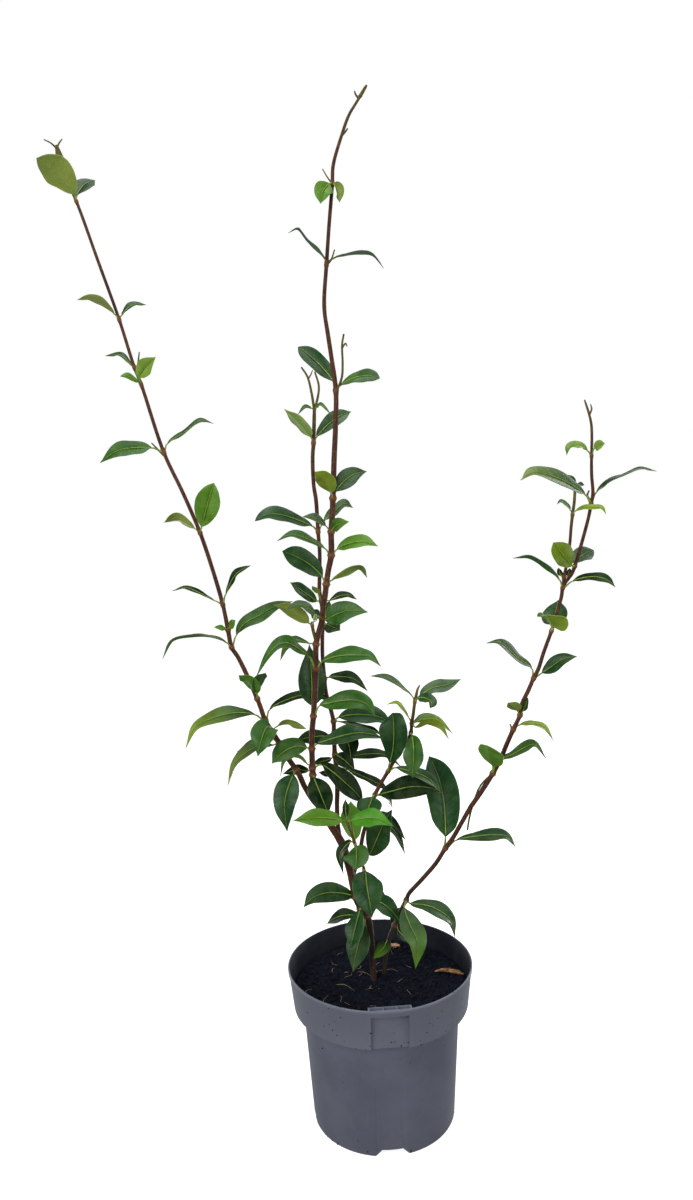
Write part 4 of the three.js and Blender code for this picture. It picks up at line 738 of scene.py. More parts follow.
def leaf_finish(name, tone, rough, gloss, vein_share, vein_lightness, relief):
    """A blade's finish, whose tone is stored on the points under a name"""
    leaf = Finish(name)
    flat = leaf.node("ShaderNodeUVMap", {"uv_map": "UVMap"})
    along = leaf.node("ShaderNodeSeparateXYZ", {}, {0: flat}, "X")
    across = leaf.node("ShaderNodeSeparateXYZ", {}, {0: flat}, "Y")
    aside = leaf.node("ShaderNodeMath", {"operation": "ABSOLUTE"}, {0: across * 2 - 1})
    midrib = leaf.ease(aside, 0.008, 0.035, 1, 0)
    # The count of side veins grows along the leaf and bends forward towards the margin
    count = along * VEINS - aside * 1.5 + aside * aside * 0.35
    phase = leaf.node("ShaderNodeMath", {"operation": "FRACT"}, {0: count + 20})
    off_line = leaf.node("ShaderNodeMath", {"operation": "ABSOLUTE"}, {0: phase - 0.5})
    vein = leaf.ease(off_line, 0.38, 0.49) * leaf.ease(aside, 0.75, 0.98, 1, 0)
    spot = leaf.place()
    cloud = leaf.noise(spot, 95, 3)
    grain = leaf.noise(spot, 900, 3)
    base = leaf.stored(tone)
    deep = leaf.mix(1.0, base, (0.80, 0.83, 0.84, 1), "MULTIPLY")
    high = leaf.mix(0.05, base, LIT_GREEN)
    body = leaf.mix(leaf.ease(cloud, 0.34, 0.66), deep, high)
    body = leaf.mix(leaf.ease(grain, 0.3, 0.8) * 0.12, body, high)
    pale = leaf.mix(vein_lightness, base, PALE_GREEN)
    margin = leaf.ease(aside, 0.93, 0.995)
    color = leaf.mix(vein * vein_share, body, pale)
    color = leaf.mix(margin * 0.45, color, pale)
    color = leaf.mix(midrib * 0.6, color, pale)
    height = relief * (midrib * 1.4 + vein * 0.7) + grain * 0.04 + cloud * 0.6
    return leaf.shine(Base_Color=color, Roughness=rough + 0.14 * grain + 0.08 * vein,
                      Normal=leaf.bump(height, 0.3, 0.0006), Specular_IOR_Level=gloss)


leaf_face = leaf_finish("waxy leaf face", "face_tone", 0.3, 0.25, 0.14, 0.1, -1.0)
# The shaded copy for the very dark leaves has less shine and darker veins, which is painted shade
shaded_face = leaf_finish("waxy leaf face in the shade", "face_tone", 0.5, 0.05, 0.14, 0.05, -1.0)
leaf_back = leaf_finish("dull leaf back", "back_tone", 0.52, 0.2, 0.30, 0.3, 1.0)

# %% [markdown]
# Leaf stalks are a bright yellow green, a little redder where they leave the cane. The cane's bark
# is reddish brown with streaks along it, pale breathing pores and lighter rings at the nodes. Near
# the soil it is dull and grey, and its youngest lengths are greener. Youth and rings are stored on
# the cane's points.

# %% Stalk and bark finishes
stalk = Finish("leaf stalk")
stalk_spot = stalk.place()
stalk_cloud = stalk.noise(stalk_spot, 260, 3)
stalk_color = stalk.mix(stalk.ease(stalk_cloud, 0.3, 0.7), paint(0x8ea83a), paint(0x6d8c2c))
stalk_color = stalk.mix(stalk.stored("foot", "Fac") * 0.7, stalk_color, paint(0x6a4a34))
leaf_stalk = stalk.shine(Base_Color=stalk_color, Roughness=0.42 + 0.2 * stalk_cloud,
                         Normal=stalk.bump(stalk_cloud, 0.3, 0.0003))

bark = Finish("cane bark")
bark_spot = bark.place((1, 1, 0.16))
streak = bark.noise(bark_spot, 1500, 5, 0.65)
patch = bark.noise(bark.place(), 70, 3)
pore_cells = {"Vector": bark.place((1, 1, 0.6)), "Scale": 420}
pores = bark.node("ShaderNodeTexVoronoi", {"feature": "F1"}, pore_cells)
pore = bark.ease(pores, 0.10, 0.24, 1, 0)
old_bark = bark.mix(bark.ease(streak, 0.32, 0.68), paint(0x331c10), paint(0x693d24))
old_bark = bark.mix(bark.ease(patch, 0.42, 0.7) * 0.55, old_bark, paint(0x2e1a14))
foot_bark = bark.mix(streak, paint(0x211c1b), paint(0x4a403b))
old_bark = bark.mix(bark.ease(bark.height(), 0.13, 0.22, 0.85, 0), old_bark, foot_bark)
young_bark = bark.mix(bark.ease(streak, 0.32, 0.68), paint(0x4e4a22), paint(0x7a8236))
bark_color = bark.mix(bark.stored("youth", "Fac"), old_bark, young_bark)
bark_color = bark.mix(bark.stored("ring", "Fac") * 0.55, bark_color, paint(0x94603c))
bark_color = bark.mix(pore * 0.3, bark_color, paint(0xa07a5c))
cane_bark = bark.shine(Base_Color=bark_color, Roughness=0.5 + 0.25 * streak, Specular_IOR_Level=0.25,
                       Normal=bark.bump(streak * 0.8 + pore * 0.5, 0.6, 0.0005))

# %% [markdown]
# ## The canes
#
# A cane is a long thin tube that bends at every node and swells there a little. A circle could be
# extruded from point to point, but a curve with a round bevel and its own thickness at each point
# is quicker to shape, so each cane starts as a curve and is then turned into a mesh.

# %% Tools for pieces
def start_clean():
    """Leaves edit mode and deselects everything, because an operator acts on all that is selected"""
    if bpy.context.mode != "OBJECT":
        bpy.ops.object.mode_set(mode="OBJECT")
    bpy.ops.object.select_all(action="DESELECT")


def choose(*pieces):
    """Selects just these pieces and makes the first of them the active one"""
    start_clean()
    for piece in pieces:
        piece.select_set(True)
    bpy.context.view_layer.objects.active = pieces[0]


def smooth(piece):
    """Shades all faces of a piece smoothly"""
    piece.data.polygons.foreach_set("use_smooth", [True] * len(piece.data.polygons))


def join(pieces, name):
    """Makes one object of several"""
    choose(*pieces)
    bpy.ops.object.join()
    pieces[0].name = name
    return pieces[0]


def store(piece, name, values):
    """Stores a number on each point of a piece"""
    kept = piece.data.attributes.new(name, "FLOAT", "POINT")
    kept.data.foreach_set("value", np.asarray(values, np.float32))


def points_of(piece):
    """The places of a piece's points, as rows"""
    places = np.empty(len(piece.data.vertices) * 3, np.float32)
    piece.data.vertices.foreach_get("co", places)
    return places.reshape(-1, 3)


def lay_points(piece, places):
    """Moves a piece's points to new places, given as rows"""
    piece.data.vertices.foreach_set("co", np.asarray(places, np.float32).ravel())


# %% Tubes from curves
def tubes(name, lines, finish, sides):
    """Round tubes along lines of points, with a radius in millimetres at each point"""
    path = bpy.data.curves.new(name, "CURVE")
    path.dimensions = "3D"
    path.bevel_depth = MM
    path.bevel_resolution = sides // 2 - 2
    path.use_fill_caps = True
    for points, radii in lines:
        spline = path.splines.new("POLY")
        spline.points.add(len(points) - 1)
        spline.points.foreach_set("co", np.hstack([points, np.ones((len(points), 1))]).ravel())
        spline.points.foreach_set("radius", np.asarray(radii, float))
    piece = bpy.data.objects.new(name, path)
    bpy.context.collection.objects.link(piece)
    choose(piece)
    bpy.ops.object.convert(target="MESH")
    piece.data.materials.clear()
    piece.data.materials.append(finish)
    smooth(piece)
    return piece


# %% [markdown]
# The canes of the real plant look stouter higher up than those of the solid model, so their
# thickness grows by a share of its own for each cane between two heights. Side shoots and buds are
# stouter throughout.

# %% Canes with nodes
STOUTER = {"left": 1.22, "middle": 1.3, "inner": 1.45, "short": 1.42, "right": 1.12}
STOUTER_TWIG = 1.15
STOUTER_BIT = 1.35
BIT_YOUTH = 0.55
STOUT_HEIGHTS = [140, 260]
RING_REACH = 1.3
RING_SWELL = 0.45
TIP_LENGTH = 14
YOUNG_LENGTH = 45


def cane_tube(name, cane):
    """A cane with its swollen nodes, and with its rings and its youth stored on its points"""
    route = cane["route"]
    line = smooth_line([place(point) for point in route])
    samples = max(24, int((route[-1][1] - route[0][1]) / 1.2))
    shares = np.linspace(0, 1, samples)
    points = line(shares)
    heights = np.interp(shares * (len(route) - 1), range(len(route)), [point[1] for point in route])
    ring = np.zeros(samples)
    for node, cane_name, heights_of_row, rows in LEAVES:
        if cane_name != name:
            continue
        for height in set(both(heights_of_row)):
            away = np.linalg.norm(points - place(on_route(route, height)), axis=1) / MM
            ring = np.maximum(ring, np.exp(-((away / RING_REACH) ** 2)))
    dice = np.random.default_rng(len(name) + samples)
    knobs = np.convolve(dice.normal(0, 0.05, samples + 8), np.ones(9) / 9, "valid")
    stout = np.interp(heights, STOUT_HEIGHTS, [1, STOUTER.get(name, STOUTER_TWIG)])
    radii = [between(cane["radius"], height) for height in heights] * stout
    radii = radii * (1 + RING_SWELL * ring + knobs)
    tip_gap = (heights[-1] - heights) / TIP_LENGTH
    radii = radii * np.clip((0.8 if name == "short" else 0.68) + tip_gap, 0, 1)
    piece = tubes(name, [(points, radii)], cane_bark, 12)
    near = np.linalg.norm(points_of(piece)[:, None] - points[None], axis=2).argmin(axis=1)
    greenest = 0.9 if name in ("left", "twig") else 0.5
    youth = np.clip(1 - (heights[-1] - heights) / YOUNG_LENGTH, 0, 1) ** 1.5 * greenest
    store(piece, "ring", ring[near])
    store(piece, "youth", youth[near])
    return piece


def bit_tube(thick, thin, route):
    """A side shoot, a bud or a tendril"""
    line = smooth_line([place(point) for point in route])
    shares = np.linspace(0, 1, 12)
    radii = STOUTER_BIT * (thick + (thin - thick) * shares)
    piece = tubes("bit", [(line(shares), radii)], cane_bark, 8)
    store(piece, "ring", np.zeros(len(piece.data.vertices)))
    store(piece, "youth", np.full(len(piece.data.vertices), BIT_YOUTH))
    return piece


for solid, title in (("stem", "canes"), ("right_stem", "right_cane")):
    parts = [cane_tube(name, cane) for name, cane in CANES.items() if cane["piece"] == solid]
    parts += [bit_tube(*bit[1:]) for bit in BITS if bit[0] == solid]
    piece = join(parts, title)
    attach(piece, "root")
    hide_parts(solid)
    print(title, "has", len(piece.data.polygons), "faces")

# %% [markdown]
# ## One pattern leaf
#
# All leaves of this plant share one outline: widest at the middle, with a drawn-out tip. So one
# leaf is modelled flat, one unit long and wide, and every other is a bent copy. A grid gives rows
# along and across. Each lengthwise row is lifted for the shallow fold and each crosswise row is
# narrowed to the outline. Solidify then gives the blade its thickness, with the dull finish on its
# underside.

# %% Tools for edit mode
def pick(piece, wanted):
    """Selects just the points whose place passes a test, and then goes to edit mode"""
    if bpy.context.mode != "OBJECT":
        bpy.ops.object.mode_set(mode="OBJECT")
    chosen = wanted(points_of(piece))
    piece.data.polygons.foreach_set("select", np.zeros(len(piece.data.polygons), bool))
    piece.data.edges.foreach_set("select", np.zeros(len(piece.data.edges), bool))
    piece.data.vertices.foreach_set("select", chosen)
    bpy.ops.object.mode_set(mode="EDIT")


def set_into_mesh(piece):
    """Moves a piece's place, turn and size into its mesh"""
    choose(piece)
    bpy.ops.object.transform_apply(location=True, rotation=True, scale=True)


def apply_modifier(piece, kind, **settings):
    """Adds a modifier with its settings and makes its result the mesh"""
    choose(piece)
    modifier = piece.modifiers.new(kind.lower(), kind)
    for name, setting in settings.items():
        setattr(modifier, name, setting)
    bpy.ops.object.modifier_apply(modifier=modifier.name)


# %% The pattern leaf
OUTLINE = [
    (0, 0.05), (0.03, 0.16), (0.08, 0.38), (0.14, 0.58), (0.22, 0.77), (0.32, 0.92), (0.42, 0.99),
    (0.5, 1), (0.6, 0.94), (0.7, 0.79), (0.78, 0.62), (0.85, 0.42), (0.9, 0.27), (0.95, 0.12),
    (1, 0.015),
]
ALONG, ACROSS = 36, 12
BLADE_THICKNESS = 0.024
NEAR_ROW = 1e-4

start_clean()
bpy.ops.mesh.primitive_grid_add(x_subdivisions=ALONG, y_subdivisions=ACROSS, size=1,
                                location=(0.5, 0, 0))
pattern_leaf = bpy.context.object
pattern_leaf.name = "pattern leaf"
set_into_mesh(pattern_leaf)
for row in range(ACROSS + 1):
    aside = row / ACROSS - 0.5
    share = abs(aside) * 2
    # The fold flattens towards the margins, and a narrow groove runs along the middle
    lift = 0.5 * (0.33 * share - 0.17 * share**2.5) - 0.016 * math.exp(-((share / 0.13) ** 2))
    pick(pattern_leaf, lambda p: np.abs(p[:, 1] - aside) < NEAR_ROW)
    bpy.ops.transform.translate(value=(0, 0, lift))
for row in range(ALONG + 1):
    along = row / ALONG
    share = between(OUTLINE, along)
    pick(pattern_leaf, lambda p: np.abs(p[:, 0] - along) < NEAR_ROW)
    bpy.ops.transform.resize(value=(1, share, share), center_override=(along, 0, 0))
bpy.ops.object.mode_set(mode="OBJECT")
pattern_leaf.data.materials.append(leaf_face)
pattern_leaf.data.materials.append(leaf_back)
apply_modifier(pattern_leaf, "SOLIDIFY", thickness=BLADE_THICKNESS, offset=-1, material_offset=1,
               material_offset_rim=1)
bpy.ops.object.shade_smooth_by_angle(angle=math.radians(50))
print("pattern leaf has", len(pattern_leaf.data.polygons), "faces")

# %% [markdown]
# ## Leaves on their stalks
#
# A leaf is bent along its own route: a smooth line runs from the cane's surface through the row's
# points, and each point of the pattern goes to its share of that line, then aside and up. How far
# the upper face looks to the front is given at the base and the tip, because the leaves of a real
# plant twist. A little seeded waviness and a slight difference of tone keep the copies from looking
# stamped, and some tips are blunter than the pattern's. The stalk runs on below the blade as its
# midrib.

# %% Leaf lines
def unit(rows):
    return rows / np.linalg.norm(rows, axis=1, keepdims=True)


def stalk_foot(cane, height, blade):
    """Where a leaf's stalk starts: just inside the cane, on the leaf's side"""
    axis = place(on_route(cane["route"], height))
    grow = place(on_route(cane["route"], height + 2)) - place(on_route(cane["route"], height - 2))
    grow /= np.linalg.norm(grow)
    outward = place(blade) - axis
    outward -= grow * outward.dot(grow)
    return axis + outward / np.linalg.norm(outward) * (between(cane["radius"], height) - 0.6) * MM


def leaf_frame(line, foot_share, shares, base_face, tip_face):
    """Places on a leaf's line, with the directions along it, aside and out of its upper face"""
    at = foot_share + shares * (1 - foot_share)
    spots = line(at)
    along = unit(line(at + 1e-3) - line(at - 1e-3))
    to_front = unit(FRONT_POINT - spots)
    facing = unit(to_front - along * (to_front * along).sum(axis=1, keepdims=True))
    across = np.cross(along, facing)
    middle = across[np.abs(shares - 0.5).argmin()]
    side_up = 1 if middle[2] >= 0 else -1
    face = (base_face + (tip_face - base_face) * shares)[:, None]
    out = facing * face + across * side_up * np.sqrt(1 - face**2)
    return spots, along, np.cross(out, along), out


BLUNT_LEAVES = [
    ("left_pair_682", 0), ("right_pair_206", 0), ("right_pair_262", 0), ("left_pair_449", 0),
    ("middle_pair_546", 0), ("middle_pair_408", 0), ("short_pair_267", 0), ("inner_pair_446", 0),
    ("middle_pair_546", 1), ("right_pair_415", 0), ("right_pair_415", 1),
]


BLUNT_FROM = 0.7
BLUNT_PULL = 1.1


def blunted(shares):
    """Shares along a leaf, drawn together towards the tip so that the tip is rounder"""
    drawn = shares - BLUNT_PULL * np.clip(shares - BLUNT_FROM, 0, 1) ** 2
    return drawn / (1 - BLUNT_PULL * (1 - BLUNT_FROM) ** 2)


FOLD_LIFT = 0.13
WAVE_LIFT = 0.035
MIDDLE_SINK = 0.065
UNLIT_FACE = 0x3a6430
DULL_BACK = 0x8c9a50


def store_colors(piece, name, colors):
    """Stores a color on each point of a piece"""
    colors[:, 3] = 1
    kept = piece.data.attributes.new(name, "FLOAT_COLOR", "POINT")
    kept.data.foreach_set("color", colors.astype(np.float32).ravel())


def lay_leaf(row, cane, height, dice, blunt):
    """A bent copy of the pattern leaf, and the line and thickness of its stalk"""
    width, face, tone, route = row
    base_face, tip_face = both(face)
    base_tone, tip_tone = both(tone)
    width = width * MM
    line = smooth_line([stalk_foot(cane, height, route[0])] + [place(point) for point in route])
    foot_share = 1 / len(route)
    leaf = pattern_leaf.copy()
    leaf.data = pattern_leaf.data.copy()
    # The very dark leaves take the shaded face finish: painted shade for leaves deep in the plant
    if base_tone == "vdark":
        leaf.data.materials[0] = shaded_face
    bpy.context.collection.objects.link(leaf)
    flat = points_of(leaf)
    shares = flat[:, 0].astype(float)
    if blunt:
        shares = blunted(shares)
    spots, along, aside, out = leaf_frame(line, foot_share, shares, base_face, tip_face)
    # Its own waviness and depth of fold, and a middle that sinks to meet the stalk
    across = flat[:, 1] * width * (1 + 0.04 * np.sin(shares * 9 + dice.uniform(0, 6)))
    edge = np.abs(flat[:, 1]) * 2
    wave = np.sin(shares * dice.uniform(9, 13) + dice.uniform(0, 6) + 1.2 * np.sign(flat[:, 1]))
    fold = dice.uniform(0.75, 1.35)
    lifted = flat[:, 2] + (fold - 1) * FOLD_LIFT * edge + WAVE_LIFT * wave * edge**1.5
    lifted = lifted - MIDDLE_SINK * fold * np.clip(shares / 0.2, 0, 1)
    lay_points(leaf, spots + aside * across[:, None] + out * (lifted * width)[:, None])
    # Its own tone from base to tip, and a duller one where the upper face looks away from the front
    shade = dice.uniform(0.9, 1.1)
    warm = dice.uniform(0.94, 1.06)
    tipped = shares[:, None] ** 2
    own = np.array(paint(TONES[base_tone])) * (1 - tipped) + np.array(paint(TONES[tip_tone])) * tipped
    own = own * [shade * warm, shade, shade / warm, 1]
    front = (base_face + (tip_face - base_face) * shares)[:, None] > 0
    dull = own * 0.55 + np.array(paint(DULL_BACK)) * 0.4
    unlit = np.array(paint(UNLIT_FACE)) * [shade, shade, shade, 1]
    store_colors(leaf, "face_tone", np.where(front, own, unlit))
    store_colors(leaf, "back_tone", np.where(front, dull, own))
    # The stalk, thickest at its foot, and the midrib that goes on from it and thins out to the tip
    rib = np.linspace(0, 0.93, 12)
    spots, along, aside, out = leaf_frame(line, foot_share, rib, base_face, tip_face)
    below = np.minimum(BLADE_THICKNESS * width * 0.9 + 0.00018, 0.0006)
    blade_line = spots - out * below
    foot_line = line(np.linspace(0, foot_share, 6)[:-1])
    thick = 0.42 + 0.018 * width / MM
    foot_radii = thick * np.array([1.5, 1.15, 1, 0.95, 0.9])
    rib_radii = np.minimum(thick * 0.85, 0.5) * (1 - rib * 0.85)
    return leaf, (np.vstack([foot_line, blade_line]), np.concatenate([foot_radii, rib_radii]))


# %% All leaves
FOOT_REACH = 2.2 * MM
dice = np.random.default_rng(26)
young = {"stem": [], "right_stem": []}
leaf_count = 0
for node, cane_name, heights, rows in LEAVES:
    cane = CANES[cane_name]
    low, high = both(heights)
    blades = []
    stalks = []
    for index, row in enumerate(rows):
        first = row[3][0][1]
        height = high if abs(first - high) < abs(first - low) else low
        blade, stalk_line = lay_leaf(row, cane, height, dice, (node, index) in BLUNT_LEAVES)
        blades.append(blade)
        stalks.append(stalk_line)
    leaf_count += len(blades)
    stems = tubes("stalks", stalks, leaf_stalk, 8)
    starts = np.array([line[0] for line, radii in stalks])
    away = np.linalg.norm(points_of(stems)[:, None] - starts[None], axis=2).min(axis=1)
    store(stems, "foot", np.clip(1 - away / FOOT_REACH, 0, 1))
    if not node:
        young[cane["piece"]] += blades + [stems]
        continue
    title = node + "_blade" if "leaf" in node else node.replace("_", "_leaves_", 1)
    piece = join(blades + [stems], title)
    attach(piece, "root")
    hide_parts(node)
for solid, parts in young.items():
    piece = join(parts, "young_leaves_" + solid)
    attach(piece, "root")
    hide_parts(solid)
bpy.data.objects.remove(pattern_leaf)
print(leaf_count, "leaves on", len(LEAVES), "nodes")

# %% [markdown]
# ## The pot
#
# The pot is moulded in one piece: a slightly tapered body, a flared band above it, a rim, a flat
# plain panel sunk into the band and four drain notches in the base edge. Behind the panel the wall
# is thickened by a boss that leans out with the band, and the top of the boss has three shallow
# pockets. A lathe shape is made from a circle that is extruded and resized ring by ring, with extra
# rings where an edge is rounded. Blocks are then added and cut away, and a fine bevel rounds the
# cut edges so that they catch the light as moulded plastic does.

# %% The turned pot
def turned(name, rings, sides):
    """A closed round shell through rings of radius and height, in millimetres"""
    start_clean()
    radius, height = rings[0]
    bpy.ops.mesh.primitive_circle_add(vertices=sides, radius=radius * MM, location=(0, 0, height * MM))
    shell = bpy.context.object
    shell.name = name
    set_into_mesh(shell)
    bpy.ops.object.mode_set(mode="EDIT")
    bpy.ops.mesh.select_all(action="SELECT")
    bpy.ops.mesh.edge_face_add()
    for (r0, z0), (r1, z1) in zip(rings, rings[1:]):
        bpy.ops.mesh.extrude_region_move(TRANSFORM_OT_translate={"value": (0, 0, (z1 - z0) * MM)})
        bpy.ops.transform.resize(value=(r1 / r0, r1 / r0, 1), center_override=(0, 0, z1 * MM))
    bpy.ops.mesh.select_all(action="SELECT")
    bpy.ops.mesh.normals_make_consistent(inside=False)
    bpy.ops.object.mode_set(mode="OBJECT")
    return shell


def block(turn, low_width, high_width, low, high, inner, outer):
    """A block at an angle round the pot: its widths below and above, its heights and its radii"""
    start_clean()
    middle = (0, -(inner + outer) / 2 * MM, (low + high) / 2 * MM)
    size = (low_width * MM, (outer - inner) * MM, (high - low) * MM)
    bpy.ops.mesh.primitive_cube_add(size=1, location=middle, scale=size)
    made = bpy.context.object
    set_into_mesh(made)
    pick(made, lambda p: p[:, 2] > middle[2])
    bpy.ops.transform.resize(value=(high_width / low_width, 1, 1), center_override=(0, 0, 0))
    bpy.ops.object.mode_set(mode="OBJECT")
    made.rotation_euler = (0, 0, math.radians(turn))
    set_into_mesh(made)
    return made


def set_aside(piece, aside, turn):
    """Moves a piece sideways, as seen from outside at an angle round the pot"""
    start_clean()
    angle = math.radians(turn)
    piece.location = (aside * MM * math.cos(angle), aside * MM * math.sin(angle), 0)
    set_into_mesh(piece)


def combine(piece, tool, how):
    """Adds a tool's solid to a piece, or cuts it away"""
    apply_modifier(piece, "BOOLEAN", operation=how, object=tool, solver="EXACT")
    bpy.data.objects.remove(tool)


def outward_reach(places):
    """How far places lie from the pot's axis towards the panel"""
    return places[:, 0] * math.sin(math.radians(TURN)) - places[:, 1] * math.cos(math.radians(TURN))


TURN = 4
QUARTERS = (0, 90, 180, 270)
PANEL_FACE = 63.2
PANEL_TOP = 114
PANEL_WIDTH = 27.8
BOSS_WIDTH = 30.6
POCKET_WIDTH = 8.9
NOTCH_WIDTH, NOTCH_TOP_WIDTH = 26, 15
POT_RINGS = [
    (53.0, 0), (53.6, 0.2), (53.9, 0.8), (59.3, 87.2), (59.6, 87.9), (60.2, 88.2), (65.6, 88.3),
    (66.05, 88.5), (66.2, 89.0), (69.2, 115.6), (69.9, 116.6), (70.0, 117.8), (70.0, 118.5),
    (69.8, 118.9), (69.4, 119.0), (68.9, 118.9), (68.6, 118.4), (64.8, 90.6), (64.3, 90.1),
    (58.3, 89.8), (57.9, 89.2), (52.5, 3.0), (51.6, 2.0), (2.0, 2.0),
]
pot = turned("pot shell", POT_RINGS, 144)
boss = block(TURN, BOSS_WIDTH, BOSS_WIDTH, 89.4, 118.0, 61.6, 63.8)
# The boss leans out: its upper outer points follow the band
pick(boss, lambda p: (p[:, 2] > 0.1) & (outward_reach(p) > 0.0627))
bpy.ops.transform.translate(value=(0, -0.0037, 0))
combine(pot, boss, "UNION")
panel = block(TURN, PANEL_WIDTH, PANEL_WIDTH, 82, PANEL_TOP, PANEL_FACE, 90)
# The panel's right side wall slants: the inner points on that side move in
pick(panel, lambda p: (p[:, 0] > 0.01) & (p[:, 1] > -0.07))
bpy.ops.transform.translate(value=(-0.0008, 0, 0))
bpy.ops.object.mode_set(mode="OBJECT")
combine(pot, panel, "DIFFERENCE")
for aside in (-9.7, 0, 9.7):
    pocket = block(TURN, POCKET_WIDTH, POCKET_WIDTH, 115.6, 121, 62.3, 65.8)
    set_aside(pocket, aside, TURN)
    combine(pot, pocket, "DIFFERENCE")
for quarter in QUARTERS:
    combine(pot, block(TURN + quarter, NOTCH_WIDTH + 3, NOTCH_WIDTH + 3, 0.5, 7.5, 42, 51.4), "UNION")
    combine(pot, block(TURN + quarter, NOTCH_WIDTH, NOTCH_TOP_WIDTH, -0.5, 5.5, 44, 62), "DIFFERENCE")
print("pot shell has", len(pot.data.polygons), "faces")

# %% [markdown]
# The plastic is slate grey and satin. It is a little cloudy from dust, with fine upright rubbing
# marks and a faint grain from the mould. All of that is slight: the soft light on the curve of the
# pot should stay the main thing. The band is painted a shade lighter than the body. That is painted
# light, which leaves the body just under the band's edge looking shaded. The inner wall above the
# soil is stained dark by soil and painted darker still, as painted shade inside the pot.

# %% Pot finish
plastic = Finish("slate pot plastic")
dust = plastic.noise(plastic.place(), 22, 5, 0.6)
rub = plastic.noise(plastic.place((1, 1, 0.07)), 420, 4, 0.6)
mould_grain = plastic.noise(plastic.place(), 1700, 2)
plastic_color = plastic.mix(plastic.ease(dust, 0.38, 0.66), paint(0x5c6170), paint(0x676b7a))
plastic_color = plastic.mix(plastic.ease(rub, 0.55, 0.8) * 0.22, plastic_color, paint(0x777b86))
plastic_color = plastic.mix(plastic.ease(mould_grain, 0.6, 0.9) * 0.3, plastic_color, paint(0x444752))
# Painted light: the band is painted lighter than the body, so the body just under its edge looks shaded
band = plastic.ease(plastic.height(), 0.088, 0.0888)
plastic_color = plastic.mix(band * 0.35, plastic_color, paint(0x7c808c))
pot_plastic = plastic.shine(Base_Color=plastic_color, Roughness=0.4 + 0.12 * dust + 0.08 * rub,
                            Specular_IOR_Level=0.4,
                            Normal=plastic.bump(mould_grain * 0.5 + rub * 0.4, 0.16, 0.0004))
# The inner wall's finish: real soil stains on a colour painted dark overall, which is painted shade
# inside the pot
stained = Finish("pot plastic stained by soil and painted in shade")
stain = stained.noise(stained.place(), 60, 5, 0.65)
stain_fine = stained.noise(stained.place(), 900, 3)
stain_and_shade_color = stained.mix(stained.ease(stain, 0.35, 0.7), paint(0x15171f), paint(0x232633))
stain_and_shade_color = stained.mix(stained.ease(stain_fine, 0.62, 0.8) * 0.5, stain_and_shade_color, paint(0x0c0b0b))
stained_and_shaded_plastic = stained.shine(Base_Color=stain_and_shade_color, Roughness=0.5 + 0.2 * stain,
                                Specular_IOR_Level=0.2,
                                Normal=stained.bump(stain_fine, 0.3, 0.0004))
pot.data.materials.append(pot_plastic)
pot.data.materials.append(stained_and_shaded_plastic)
# Faces of the inner wall above the soil take the stained finish with its painted shade
INNER_WALL_LOW, INNER_WALL_REACH = 0.0902, 0.0688
inside = 0
for face in pot.data.polygons:
    reach = math.hypot(face.center.x, face.center.y)
    inward = (face.normal.x * face.center.x + face.normal.y * face.center.y) / max(reach, 1e-6)
    if face.center.z > INNER_WALL_LOW and inward < -0.3 and reach < INNER_WALL_REACH:
        face.material_index = 1
        inside += 1
print(inside, "faces of the inner wall are stained and painted in shade")
apply_modifier(pot, "BEVEL", width=0.3 * MM, segments=2, limit_method="ANGLE",
               angle_limit=math.radians(48), use_clamp_overlap=True)
bpy.ops.object.shade_smooth_by_angle(angle=math.radians(32))
pot.name = "nursery_pot"
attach(pot, "root")
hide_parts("pot")
print("pot has", len(pot.data.polygons), "faces")

# %% [markdown]
# ## The soil
#
# Potting soil is dark, damp and crumbly, a little heaped round the canes. A flat grid is rounded to
# a disc, pushed up and down by noise and closed below, which gives the lumpy ground. Crumbs make it
# real: one small lump is modelled and copied many times, each with its own size and turn. Fine pale
# rootlets lie on top.

# %% Soil finish
peat = Finish("peat crumbs")
lump = peat.noise(peat.place(), 260, 5, 0.65)
fleck = peat.noise(peat.place(), 1400, 3)
peat_color = peat.mix(peat.ease(lump, 0.35, 0.7), paint(0x0a0e17), paint(0x1b1f2e))
peat_color = peat.mix(peat.ease(fleck, 0.66, 0.84) * 0.4, peat_color, paint(0x3c332c))
peat_color = peat.mix(peat.stored("bright", "Fac") * 0.8, peat_color, paint(0x2c2828))
peat_soil = peat.shine(Base_Color=peat_color, Roughness=0.82 + 0.1 * fleck, Specular_IOR_Level=0.08,
                       Normal=peat.bump(lump + fleck, 0.8, 0.0009))

# %% The ground inside the pot
SOIL_RADIUS = 64.6
SOIL_HEIGHT = 102.6
HEAPS = ((-5, 0, 1.6), (2.5, 7, 1.2))
BOSS_CLEAR = 61.5
BOSS_SIDE = 15.5
SKIRT = ((7, 1), (2, 0.89), (90, 0.9))


def ground(x, y):
    """Height of the soil at a place, all in metres"""
    spot = Vector((x, y, 0)) / MM
    height = SOIL_HEIGHT + 0.8 * noise.noise(spot / 16) + 0.7 * noise.noise(spot / 5.5)
    height += 0.45 * noise.noise(spot / 2.2)
    for cx, cy, heap in HEAPS:
        height += heap * math.exp(-((spot.x - cx) ** 2 + (spot.y - cy) ** 2) / 130)
    from_wall = max(0, spot.length - 55) / 10
    return (height - 0.8 * from_wall**2) * MM


def clear_of_panel(x, y):
    """A place on the soil, moved back where it would reach into the thickened wall behind the panel"""
    outward = (math.sin(math.radians(TURN)), -math.cos(math.radians(TURN)))
    reach = x * outward[0] + y * outward[1]
    aside = x * outward[1] - y * outward[0]
    back = max(0, reach - BOSS_CLEAR * MM) if abs(aside) < BOSS_SIDE * MM else 0
    return x - outward[0] * back, y - outward[1] * back


